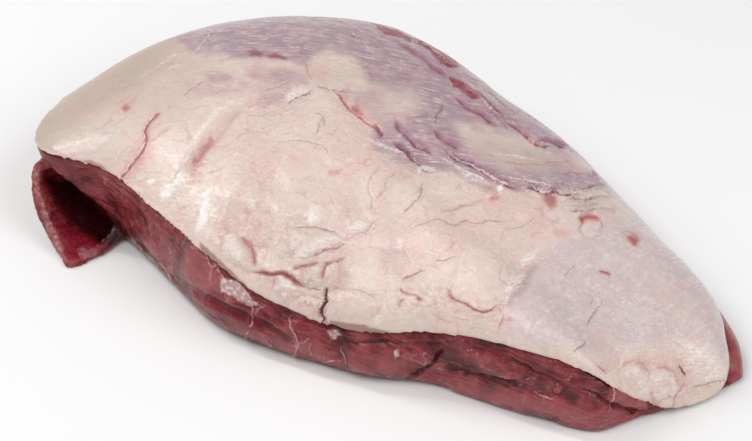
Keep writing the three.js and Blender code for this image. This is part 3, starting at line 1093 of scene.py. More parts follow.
        # Painted highlight: the gloss patches and glints turn the colour white.
        colour = g.mix(p.painted_highlight * 0.8, colour, paint(*self.white))
        inked = g.mix(p.layers[Layer.INK].ramp(0.5, 1.0), paint(*self.crack), paint(*self.crevice))
        inked = g.mix(p.layers[Layer.BLOOD].ramp(0.1, 0.9) * 0.7, inked, bruise)
        beside = g.mix(p.veiled, paint(*self.seam), paint(*self.plum_pale))
        # Painted shade around the thin lines.
        colour = g.mix(p.lines.halo * 0.55, colour, beside)
        # Painted highlight beside the lines, and the pale strings.
        colour = g.mix(p.lines.lit.larger(p.lines.pale) * 0.8, colour, paint(*self.white))
        return g.mix(p.lines.dark, colour, inked)

    @staticmethod
    def fine_height(p: FatPatterns) -> Number:
        """Gives the height of the relief that is too fine for the mesh, in metres."""
        wet, puff = p.layers[Layer.WET], p.layers[Layer.PUFF]
        spots = ((p.tiny - 0.5) * 0.2 + (p.small - 0.5) * 0.5) * MM * (wet + puff * 0.4)
        thread = (p.fibres - 0.5) * 0.16 * MM * p.film + (p.scratch - 0.5) * 0.14 * MM * p.haze
        height = (p.small - 0.5) * 0.16 * MM + (p.streak - 0.5) * 0.1 * MM + spots + thread + p.lines.height()
        return height + (p.mottle - 0.5) * (0.36 - p.haze * 0.12) * MM + p.painted_highlight * 0.06 * MM


class MeatPatterns:
    """The layers and patterns that the meat's finish is mixed from."""

    def __init__(self, g: FinishGraph) -> None:
        """Reads the layers and adds the noises, the fibres and the thin lines."""
        place = g.place()
        self.place = place
        self.layers = {layer: g.layer(layer.value) for layer in Layer}
        self.broad = g.noise(place, 18 * MM, 3.0, 0.55)
        self.medium = g.noise(g.wander(place, 9 * MM, 5 * MM), 6 * MM, 4.0, 0.6)
        self.small = g.noise(place, 1.5 * MM, 3.0, 0.65)
        self.fibres = MEAT_GRAIN.fibres(g)
        self.lines = ThinLines(g, self.layers)
        haze, pale = self.layers[Layer.HAZE_AND_LIGHT], self.layers[Layer.PALE_AND_HIGHLIGHT]
        # haze: painted light on the bulges, and the rosy flap and sliver
        self.haze = (haze + (self.medium - 0.5) * 0.6 * haze.ramp(0.0, 0.3)).smaller(1.0)
        # pale: membrane, with painted sheen and glints on the flap
        self.pale = (pale + (self.small - 0.5) * 1.2 * pale.ramp(0.02, 0.3)).ramp(0.2, 0.9)


@dataclass(frozen=True)
class MeatFinish:
    """Moist veal muscle with painted shade in its furrows, hollows and pocket, painted light on its bulges,
    and pale membrane over parts of it.
    """

    name: str = "veal_meat"
    flesh: Paint = (130, 36, 41)
    # deep: darker bands, and painted shade in furrows and hollows
    deep: Paint = (76, 11, 17)
    # rose: rosy bands, and painted light on the bulges
    rose: Paint = (166, 82, 85)
    membrane: Paint = (206, 172, 168)
    # white flecks on the membrane, and painted glints
    fleck_and_glint: Paint = (240, 226, 224)
    olive: Paint = (118, 72, 58)
    purple: Paint = (130, 14, 40)
    # black: painted shade in the pocket and along the furrow lines
    black: Paint = (34, 5, 8)
    roughness: float = 0.24

    def build(self) -> bpy.types.Material:
        """Makes the material."""
        material = bpy.data.materials.new(self.name)
        material.use_nodes = True
        g = FinishGraph(material.node_tree)
        p = MeatPatterns(g)
        colour = self.add_marks(g, p, self.bare_flesh(g, p))
        rise = (p.small - 0.5) * 0.3 * MM + (p.medium - 0.5) * 0.5 * MM
        rise = rise + (p.fibres - 0.5) * 0.24 * MM + p.lines.height()
        height = {"Strength": 1.0, "Distance": 1.0, "Height": rise}
        shader = g.node(
            "ShaderNodeBsdfPrincipled",
            {},
            {
                "Base Color": colour,
                "Roughness": self.roughness + (p.medium - 0.5) * 0.3 - p.haze * 0.06,
                "Normal": g.node("ShaderNodeBump", {}, height).outputs[0],
                "Specular IOR Level": 0.36,
                "Coat Weight": 0.1,
                "Coat Roughness": 0.12,
                "Subsurface Weight": 0.06,
                "Subsurface Radius": (1.0, 0.2, 0.15),
                "Subsurface Scale": 0.003,
            },
        )
        g.node("ShaderNodeOutputMaterial", {}, {"Surface": shader.outputs[0]})
        return material

    def bare_flesh(self, g: FinishGraph, p: MeatPatterns) -> Socket:
        """Mixes the bands and the fibres of the muscle, its web of membrane and its flecks, and painted light
        on its bulges.
        """
        bands = (p.broad * 0.6 + p.medium * 0.4).ramp(0.38, 0.54)
        furrows = (p.small * 0.2 + p.medium * 0.4 + p.fibres * 0.4).ramp(0.49, 0.4) * 0.35
        web = g.vein(g.wander(p.place, 6 * MM, 4 * MM), 14 * MM, 0.007) * p.medium.ramp(0.5, 0.62)
        flecks = g.noise(p.place, 0.9 * MM, 1.0).ramp(0.68, 0.74) * p.broad.ramp(0.45, 0.6)
        colour = g.mix(bands, paint(*self.deep), paint(*self.flesh))
        colour = g.mix((p.medium * 0.5 + p.fibres * 0.5).ramp(0.46, 0.64) * 0.65, colour, paint(*self.rose))
        colour = g.mix(furrows, colour, paint(*self.deep))
        # Painted light on the bulges, and the rosy flap and sliver.
        colour = g.mix(p.haze * 0.75, colour, paint(*self.rose))
        colour = g.mix(p.layers[Layer.TAN] * 0.7, colour, paint(*self.olive))
        colour = g.mix(web * 0.4, colour, paint(*self.membrane))
        return g.mix(flecks * 0.5, colour, paint(*self.membrane))

    def add_marks(self, g: FinishGraph, p: MeatPatterns, colour: Socket) -> Socket:
        """Adds the membranes with painted glints, the blood, the painted shade in furrows, hollows and the
        pocket, and the thin strings.
        """
        dark = p.layers[Layer.DARK]
        # Painted shade in the furrows, hollows and pocket.
        shadow = g.mix(dark.ramp(0.45, 1.0), paint(*self.deep), paint(*self.black))
        colour = g.mix(p.pale * 0.8, colour, paint(*self.membrane))
        # White flecks in the membrane, and painted glints on the flap.
        colour = g.mix((p.pale - 0.5) * p.small.ramp(0.5, 0.62) * 1.4, colour, paint(*self.fleck_and_glint))
        colour = g.mix(p.layers[Layer.BLOOD] * 0.85, colour, paint(*self.purple))
        colour = g.mix(dark.ramp(0.0, 0.7) * 0.94, colour, shadow)
        colour = g.mix(p.lines.pale * 0.85, colour, paint(*self.membrane))
        # Painted shade beside the furrow lines.
        colour = g.mix(p.lines.halo * 0.4, colour, paint(*self.deep))
        # Painted shade along the furrow lines.
        return g.mix(p.lines.dark * 0.75, colour, paint(*self.black))


@dataclass
class FatCap:
    """The fat and the film over the top of the joint."""

    copy: DenseCopy = field(default_factory=lambda: DenseCopy("fat_cap", "fat_dressed", 0.85 * MM))
    finish: FatFinish = field(default_factory=FatFinish)
    plate_depth: float = 0.22 * MM
    bead_depth: float = 0.1 * MM
    cushion_depth: float = 0.6 * MM
    swell: float = 0.9 * MM
    knead: float = 0.4 * MM
    rounding: int = 1400
    calming: int = 7
    shoulder: tuple[float, float] = (-35.0, -70.0)
    rim_drop: float = 2.0 * MM
    fine_reach: float = 2.3
    film_from: tuple[float, float] = (130.0, 210.0)
    haze_from: tuple[float, float] = (580.0, 650.0)

    # Broad dark strokes lay painted shade along folds and hollows; pale draws white membrane strings and
    # painted highlights along ridges and lips.
    LINES = (
        Stroke("left groove", Mark.GROOVE, ((157, 114), (150, 122), (145, 130), (146, 138), (144, 148),
            (137, 157), (130, 166), (122, 176)), 1.6, 0.4, dark=0.6, blood=1.3, pale=0.9, blunt=True),
        Stroke("left groove branch", Mark.CRACK, ((147, 143), (155, 138), (163, 132), (172, 126)), 1.3, 0.3,
            dark=0.1, blood=0.45),
        Stroke("left groove side", Mark.RIDGE, ((114, 166), (117, 156), (124, 148), (131, 142)), 1.2, 0.3,
            pale=0.4),
        Stroke("long hollow", Mark.GROOVE, ((244, 104), (231, 118), (220, 130), (210, 142), (200, 154),
            (193, 163), (190, 180)), 3.4, 0.75, blood=0.35),
        Stroke("long hollow floor", Mark.CRACK, ((214, 132), (208, 143), (200, 154), (194, 162),
            (191, 171)), 1.8, 0.3, dark=0.1, blood=1.2),
        Stroke("hollow bank", Mark.RIDGE, ((228, 108), (212, 120), (203, 136), (194, 150), (184, 166),
            (176, 182), (165, 196)), 3.4, 0.7),
        Stroke("bank below", Mark.RIDGE, ((206, 188), (205, 204), (200, 222), (194, 234)), 3.4, 0.6),
        Stroke("limb line", Mark.CRACK, ((143, 40), (158, 34), (175, 29), (190, 25)), 1.0, 0.2, dark=0.45),
        Stroke("left seam c", Mark.CRACK, ((134, 88), (128, 96), (118, 104), (112, 112)), 0.9, 0.2,
            blood=0.3, dark=0.12),
        Stroke("left string", Mark.RIDGE, ((136, 79), (145, 75), (153, 70), (165, 61), (177, 55),
            (184, 52)), 1.4, 0.45, pale=0.6),
        Stroke("left string side", Mark.RIDGE, ((165, 69), (180, 65), (193, 62)), 1.3, 0.4, pale=0.45),
        Stroke("film smudge", Mark.CRACK, ((182, 97), (187, 92), (195, 86), (206, 79)), 1.2, 0.3,
            dark=0.35),
        Stroke("ridge line", Mark.FOLD, ((286, 104), (297, 98), (306, 93), (314, 88)), 1.2, 0.7, dark=0.7,
            pale=0.9),
        Stroke("ridge line on", Mark.CRACK, ((314, 86), (326, 88), (336, 90), (350, 92)), 1.1, 0.4,
            dark=0.45, blood=0.35),
        Stroke("ridge tick", Mark.CRACK, ((306, 62), (307, 70), (312, 80)), 1.0, 0.3, dark=0.4, blood=0.2),
        Stroke("ridge tick b", Mark.CRACK, ((262, 92), (272, 88), (284, 84), (294, 78)), 1.0, 0.3, dark=0.3,
            pale=0.5),
        Stroke("hook crack", Mark.CRACK, ((314, 112), (322, 115), (325, 120), (325, 127)), 0.9, 0.3,
            dark=0.45),
        Stroke("hook crack leg", Mark.CRACK, ((322, 115), (319, 124), (317, 135)), 0.9, 0.3, dark=0.4),
        Stroke("ring crack", Mark.CRACK, ((240, 122), (246, 128), (255, 132), (266, 132), (272, 127)), 1.0,
            0.3, dark=0.2, pale=0.45),
        Stroke("ring crack top", Mark.CRACK, ((243, 118), (250, 115), (260, 116), (268, 113), (276, 110)),
            1.0, 0.2, dark=0.18, pale=0.4),
        Stroke("long seam", Mark.CRACK, ((268, 140), (280, 141), (292, 140), (306, 142), (318, 144),
            (326, 150), (330, 160)), 1.0, 0.3, dark=0.3, pale=0.45),
        Stroke("seam bruise", Mark.STAIN, ((326, 170), (332, 172), (342, 171)), 2.0, 0, blood=0.6),
        Stroke("upright seam", Mark.CRACK, ((379, 158), (379, 165), (373, 174), (369, 182), (368, 191),
            (373, 201), (371, 210), (379, 214)), 1.0, 0.3, dark=0.28, blood=0.1),
        Stroke("upright seam low", Mark.CRACK, ((402, 169), (393, 174), (386, 181), (385, 189), (377, 196),
            (373, 204)), 1.0, 0.3, dark=0.2, blood=0.4),
        Stroke("lobe a", Mark.GROOVE, ((238, 236), (248, 244), (254, 255), (253, 269)), 1.6, 0.8, dark=0.35,
            blood=0.8),
        Stroke("lobe b", Mark.GROOVE, ((250, 272), (262, 273), (272, 275), (282, 273), (290, 278),
            (298, 284), (306, 289)), 1.8, 1.1, dark=0.6, blood=1.1),
        Stroke("lobe b leg", Mark.CRACK, ((272, 276), (274, 281), (272, 287), (275, 291)), 1.0, 0.4,
            dark=0.3, blood=0.3),
        Stroke("lobe b tail", Mark.CRACK, ((306, 290), (314, 289), (322, 290)), 1.1, 0.4, dark=0.4),
        Stroke("lobe c", Mark.GROOVE, ((290, 272), (296, 268), (302, 266), (310, 264), (320, 261)), 1.4,
            0.8, dark=0.45, blood=0.8),
        Stroke("lobe d", Mark.CRACK, ((290, 229), (302, 227), (314, 226), (324, 228), (334, 233),
            (343, 239)), 1.2, 0.6, dark=0.5, blood=0.25, pale=0.6),
        Stroke("lobe e", Mark.CRACK, ((346, 242), (342, 244), (336, 247), (326, 249), (316, 254),
            (308, 258)), 1.2, 0.6, dark=0.6, blood=0.3),
        Stroke("lobe f", Mark.GROOVE, ((346, 254), (342, 258), (334, 261), (326, 263), (323, 271),
            (322, 281)), 1.4, 0.8, dark=0.3, blood=0.8),
        Stroke("lobe g", Mark.CRACK, ((326, 294), (336, 289), (344, 288), (354, 290), (366, 293),
            (376, 298), (381, 303)), 1.3, 0.5, dark=0.25, blood=0.2),
        Stroke("lobe h", Mark.CRACK, ((344, 241), (352, 237), (359, 233), (366, 231), (371, 225),
            (381, 219)), 1.1, 0.5, dark=0.35),
        Stroke("lobe i", Mark.CRACK, ((294, 300), (300, 297), (308, 296), (318, 298), (324, 302)), 1.1, 0.5,
            dark=0.22, blood=0.2),
        Stroke("lobe j", Mark.CRACK, ((305, 301), (308, 306), (313, 301)), 1.0, 0.4, dark=0.3),
        Stroke("lobe k", Mark.CRACK, ((356, 248), (367, 247), (380, 248), (390, 251)), 1.1, 0.3, dark=0.1,
            blood=0.3),
        Stroke("cleft", Mark.GROOVE, ((326, 290), (325, 296), (326, 301), (322, 307), (321, 313),
            (323, 320), (326, 329), (325, 344)), 1.1, 2.2, dark=1.0, blood=0.7, blunt=True),
        Stroke("plate a", Mark.CRACK, ((424, 180), (421, 186), (422, 192), (416, 201), (408, 208),
            (403, 216)), 1.0, 0.4, dark=0.45),
        Stroke("plate b", Mark.CRACK, ((400, 283), (402, 278), (410, 275), (418, 271), (427, 269)), 1.1,
            0.5, dark=0.55, blood=0.3),
        Stroke("plate c", Mark.CRACK, ((400, 284), (401, 290), (407, 294), (414, 296), (422, 298)), 1.1,
            0.4, dark=0.35, blood=0.7),
        Stroke("plate c loop", Mark.CRACK, ((400, 310), (400, 302), (406, 297)), 1.1, 0.4, dark=0.2,
            blood=0.7),
        Stroke("plate c dot", Mark.STAIN, ((417, 298), (420, 299)), 1.6, 0, blood=1.2, dark=0.4,
            blunt=True),
        Stroke("plate d", Mark.CRACK, ((435, 211), (451, 209), (467, 205), (485, 199), (493, 197)), 1.3,
            0.4, dark=0.18, blood=0.5),
        Stroke("plate d dot", Mark.STAIN, ((492, 198), (496, 197)), 2.2, 0, blood=1.0, blunt=True),
        Stroke("plate e", Mark.CRACK, ((402, 234), (416, 226), (436, 220), (455, 225), (462, 221),
            (468, 220), (474, 223), (490, 221), (506, 221), (522, 220)), 1.1, 0.4, dark=0.35, blood=0.1),
        Stroke("plate f", Mark.CRACK, ((430, 260), (440, 260), (449, 258), (458, 255)), 1.0, 0.3, dark=0.4),
        Stroke("plate g", Mark.CRACK, ((383, 254), (394, 252), (404, 254)), 2.0, 0.4, dark=0.15),
        Stroke("plate h", Mark.GROOVE, ((445, 282), (448, 290), (449, 296), (455, 301), (465, 304),
            (476, 311), (487, 311), (494, 307), (501, 300)), 1.2, 0.7, dark=0.45, blood=0.8),
        Stroke("plate i", Mark.CRACK, ((500, 228), (512, 228), (530, 222), (536, 212)), 1.0, 0.3,
            dark=0.25),
        Stroke("plate k", Mark.CRACK, ((504, 262), (500, 276), (508, 284), (520, 280)), 1.0, 0.35,
            dark=0.25),
        Stroke("plate l", Mark.CRACK, ((404, 300), (416, 306), (430, 306), (442, 300)), 1.1, 0.4, dark=0.12,
            blood=0.35),
        Stroke("plate m", Mark.CRACK, ((430, 306), (434, 316), (446, 322), (460, 322)), 1.1, 0.4, dark=0.12,
            blood=0.3),
        Stroke("back slit", Mark.CRACK, ((330, 90), (339, 95), (346, 105), (356, 115), (366, 123),
            (380, 131)), 1.5, 0.9, dark=0.65, blood=0.7, pale=0.6),
        Stroke("back slit red", Mark.STAIN, ((351, 104), (356, 110), (362, 117)), 2.4, 0, blood=1.3),
        Stroke("back slit foot", Mark.GROOVE, ((374, 123), (378, 129), (383, 137)), 1.6, 0.8, dark=0.4,
            blood=1.4),
        Stroke("film pucker", Mark.RIDGE, ((367, 135), (373, 141), (381, 146), (391, 149), (405, 156)), 1.5,
            0.9, film=0.6, pale=1.0),
        Stroke("upper fold", Mark.FOLD, ((395, 118), (398, 127), (407, 136), (415, 144), (424, 149),
            (433, 155)), 2.2, 1.2, dark=0.75, blood=1.2, film=0.9, pale=0.4),
        Stroke("middle fold", Mark.FOLD, ((393, 140), (401, 147), (408, 153), (415, 161), (421, 167)), 2.0,
            1.2, dark=0.85, blood=1.2, film=0.9, pale=0.4),
        Stroke("fold foot", Mark.CRACK, ((420, 168), (426, 171), (436, 171)), 1.3, 0.6, dark=0.6, pale=1.0),
        Stroke("main fold top", Mark.FOLD, ((433, 129), (438, 135), (444, 140), (451, 144), (460, 150)),
            1.9, 1.0, dark=0.8, blood=1.1, film=0.8),
        Stroke("main fold", Mark.FOLD, ((441, 147), (449, 154), (459, 160), (471, 165), (483, 171),
            (495, 178), (507, 184), (520, 189)), 2.6, 1.7, dark=0.9, blood=1.3, film=0.9, pale=0.8),
        Stroke("main fold string", Mark.RIDGE, ((436, 152), (444, 160), (454, 167), (466, 172), (478, 178),
            (492, 186)), 1.1, 0.9, pale=1.0, film=0.6),
        Stroke("main fold string b", Mark.RIDGE, ((440, 146), (445, 153), (450, 161)), 0.9, 0.6, pale=0.9),
        Stroke("fold end", Mark.FOLD, ((524, 185), (534, 188), (543, 193), (550, 192), (556, 190),
            (566, 194), (582, 193)), 1.8, 1.4, dark=0.9, blood=0.7, film=0.6, pale=0.7),
        Stroke("fold end lip", Mark.RIDGE, ((508, 177), (520, 180), (534, 182), (546, 186), (556, 185)),
            1.3, 0.9, pale=1.0),
        Stroke("wrinkle a", Mark.FOLD, ((552, 182), (563, 184), (572, 187), (584, 188), (598, 185),
            (610, 184)), 1.1, 0.8, dark=0.5, blood=0.5, film=0.6),
        Stroke("wrinkle b", Mark.FOLD, ((566, 198), (580, 199), (598, 197), (614, 196)), 1.0, 0.8, dark=0.5,
            blood=0.3, film=0.6, pale=0.5),
        Stroke("wrinkle c", Mark.FOLD, ((570, 204), (584, 205), (600, 203)), 1.0, 0.6, dark=0.3, blood=0.3,
            film=0.6),
        Stroke("wrinkle d", Mark.FOLD, ((566, 210), (584, 210), (606, 209), (622, 212)), 1.1, 0.7, dark=0.3,
            blood=0.45, film=0.6, pale=0.5),
        Stroke("wrinkle e", Mark.FOLD, ((556, 173), (575, 173), (592, 176), (606, 181)), 1.2, 0.6, dark=0.2,
            blood=0.5, film=0.4),
        Stroke("slit a", Mark.GROOVE, ((451, 78), (458, 84), (466, 92), (476, 97)), 1.7, 1.2, dark=0.6,
            blood=1.6),
        Stroke("slit a on", Mark.CRACK, ((478, 92), (484, 99), (490, 105), (497, 110), (505, 117)), 1.2,
            0.8, dark=0.9, blood=0.5),
        Stroke("slit b", Mark.CRACK, ((452, 93), (460, 101), (467, 107), (478, 112), (486, 118), (495, 125),
            (501, 130)), 1.5, 0.9, dark=0.55, blood=1.3),
        Stroke("black slit", Mark.GROOVE, ((503, 117), (512, 124), (521, 131), (529, 138), (534, 143),
            (542, 146), (552, 146)), 1.5, 1.4, dark=1.0, blood=1.3),
        Stroke("slit c", Mark.CRACK, ((485, 109), (493, 113), (503, 121), (508, 130)), 1.1, 0.6, dark=0.5,
            blood=0.4),
        Stroke("edge slit", Mark.GROOVE, ((536, 139), (551, 141), (558, 144), (567, 148)), 1.5, 1.2,
            dark=0.9, blood=1.4),
        Stroke("edge blot", Mark.STAIN, ((560, 140), (567, 143)), 2.6, 0, blood=1.6, blunt=True),
        Stroke("limb crack a", Mark.CRACK, ((458, 68), (470, 76), (488, 85), (505, 96), (520, 106)), 1.4,
            0.7, dark=0.4, blood=0.5),
        Stroke("limb crack b", Mark.CRACK, ((480, 86), (493, 94), (506, 106), (522, 116)), 1.2, 0.6,
            dark=0.45, blood=0.4),
        Stroke("limb crack c", Mark.CRACK, ((524, 112), (534, 118), (546, 124), (560, 133)), 1.3, 0.6,
            dark=0.5, blood=1.0),
        Stroke("film crease a", Mark.CRACK, ((444, 100), (441, 110), (436, 117), (437, 125)), 1.3, 0.6,
            dark=0.55, blood=0.4),
        Stroke("film crease b", Mark.CRACK, ((432, 112), (424, 116), (412, 117), (402, 116)), 1.1, 0.3,
            dark=0.2, blood=0.4),
        Stroke("yellow rib", Mark.RIDGE, ((487, 151), (501, 155), (514, 157), (530, 159), (546, 161)), 1.0,
            0.6, pale=0.7),
        Stroke("yellow crease", Mark.CRACK, ((496, 160), (516, 163), (536, 164), (560, 162), (580, 161)),
            1.1, 0.4, dark=0.3, blood=0.3),
        Stroke("back string", Mark.CRACK, ((393, 40), (404, 46), (412, 51), (424, 59), (431, 66), (441, 73),
            (452, 80)), 1.8, 0.8, blood=1.0, dark=0.45),
        Stroke("crest edge", Mark.CRACK, ((410, 40), (420, 44), (430, 51), (439, 60), (449, 68)), 1.4, 0.9,
            dark=0.7, blood=0.4),
        Stroke("right lobe ring", Mark.GROOVE, ((583, 222), (583, 217), (590, 213), (597, 214), (602, 221),
            (601, 231), (593, 237), (584, 234), (581, 227), (583, 222)), 1.3, 0.6, dark=0.12, blunt=True),
        Stroke("right lobe red", Mark.STAIN, ((582, 219), (588, 217), (596, 218)), 2.2, 0, blood=1.5,
            blunt=True),
        Stroke("small lobe ring", Mark.CRACK, ((620, 234), (626, 231), (634, 233), (638, 240), (633, 244)),
            1.3, 0.6, dark=0.25, blood=0.4),
        Stroke("small lobe red", Mark.STAIN, ((632, 236), (636, 240)), 2.4, 0, blood=1.5, blunt=True),
        Stroke("brown blot", Mark.STAIN, ((559, 231), (566, 234)), 3.0, 0, blood=0.5, blunt=True),
        Stroke("film step", Mark.STEP, ((548, 244), (538, 253), (528, 263), (521, 272), (514, 281),
            (507, 292), (502, 303), (499, 316)), 2.4, -1.3),
        Stroke("film step crest", Mark.RIDGE, ((540, 248), (528, 259), (519, 269), (510, 282), (504, 294)),
            1.8, 0.7, pale=0.7),
        Stroke("step crack", Mark.CRACK, ((501, 300), (499, 308), (503, 316), (500, 326), (497, 332)), 1.1,
            0.4, dark=0.3, blood=0.4),
        Stroke("tip slit", Mark.CRACK, ((680, 365), (683, 370), (686, 377)), 1.1, 0.9, dark=1.0),
        Stroke("tip nick", Mark.CRACK, ((601, 367), (605, 371)), 1.3, 0.5, dark=0.8, blunt=True),
        Stroke("tip lobe a", Mark.CRACK, ((622, 372), (624, 364), (634, 360), (644, 364), (650, 374),
            (650, 384)), 1.5, 0.6, blood=0.7, dark=0.1),
        Stroke("tip lobe b", Mark.CRACK, ((652, 372), (664, 366), (675, 372), (679, 384), (676, 396)), 1.5,
            0.6, blood=0.7, dark=0.1),
        Stroke("tip lobe c", Mark.CRACK, ((651, 386), (652, 398), (656, 406), (668, 410)), 1.4, 0.6,
            blood=0.8, dark=0.15),
        Stroke("tip lobe d", Mark.CRACK, ((672, 410), (675, 400), (682, 388), (687, 380)), 1.2, 0.6,
            blood=0.8, dark=0.25, pale=0.7),
        Stroke("tip lobe e", Mark.CRACK, ((668, 334), (676, 342), (684, 346), (692, 352)), 1.3, 0.4,
            blood=0.35, pale=0.5),
        Stroke("tip fold", Mark.GROOVE, ((690, 389), (702, 386), (714, 383), (730, 381)), 1.3, 0.6,
            dark=0.3),
        Stroke("tip seam", Mark.CRACK, ((654, 408), (660, 402), (668, 398), (676, 396)), 1.1, 0.4, dark=0.2,
            blood=0.7),
        Stroke("haze nick", Mark.CRACK, ((602, 271), (608, 273)), 1.5, 0.5, dark=0.7, blood=1.0,
            blunt=True),
        Stroke("haze crease a", Mark.CRACK, ((588, 292), (594, 298), (590, 306)), 1.2, 0.4, blood=0.4,
            dark=0.15),
        Stroke("haze crease b", Mark.FOLD, ((608, 294), (602, 301), (597, 309), (590, 318), (582, 326)),
            1.4, 0.5, pale=0.8, blood=0.2, dark=0.2),
        Stroke("haze crease c", Mark.FOLD, ((590, 338), (582, 345), (572, 354)), 1.3, 0.5, dark=0.3,
            pale=0.8),
        Stroke("haze crease d", Mark.CRACK, ((576, 264), (570, 270), (564, 277)), 1.0, 0.3, dark=0.25,
            pale=0.4),
        Stroke("film strand a", Mark.RIDGE, ((215, 26), (210, 34), (204, 42), (197, 50), (190, 57)), 1.1,
            0.3, pale=0.7),
        Stroke("film strand c", Mark.RIDGE, ((309, 10), (330, 16), (352, 26), (372, 36), (392, 42)), 1.0,
            0.3, pale=0.5),
        Stroke("film tick", Mark.STAIN, ((350, 34), (355, 36)), 1.4, 0, dark=0.7, blunt=True),
        Stroke("film dot", Mark.STAIN, ((371, 74), (372, 76)), 1.2, 0, dark=0.6, blunt=True),
    )

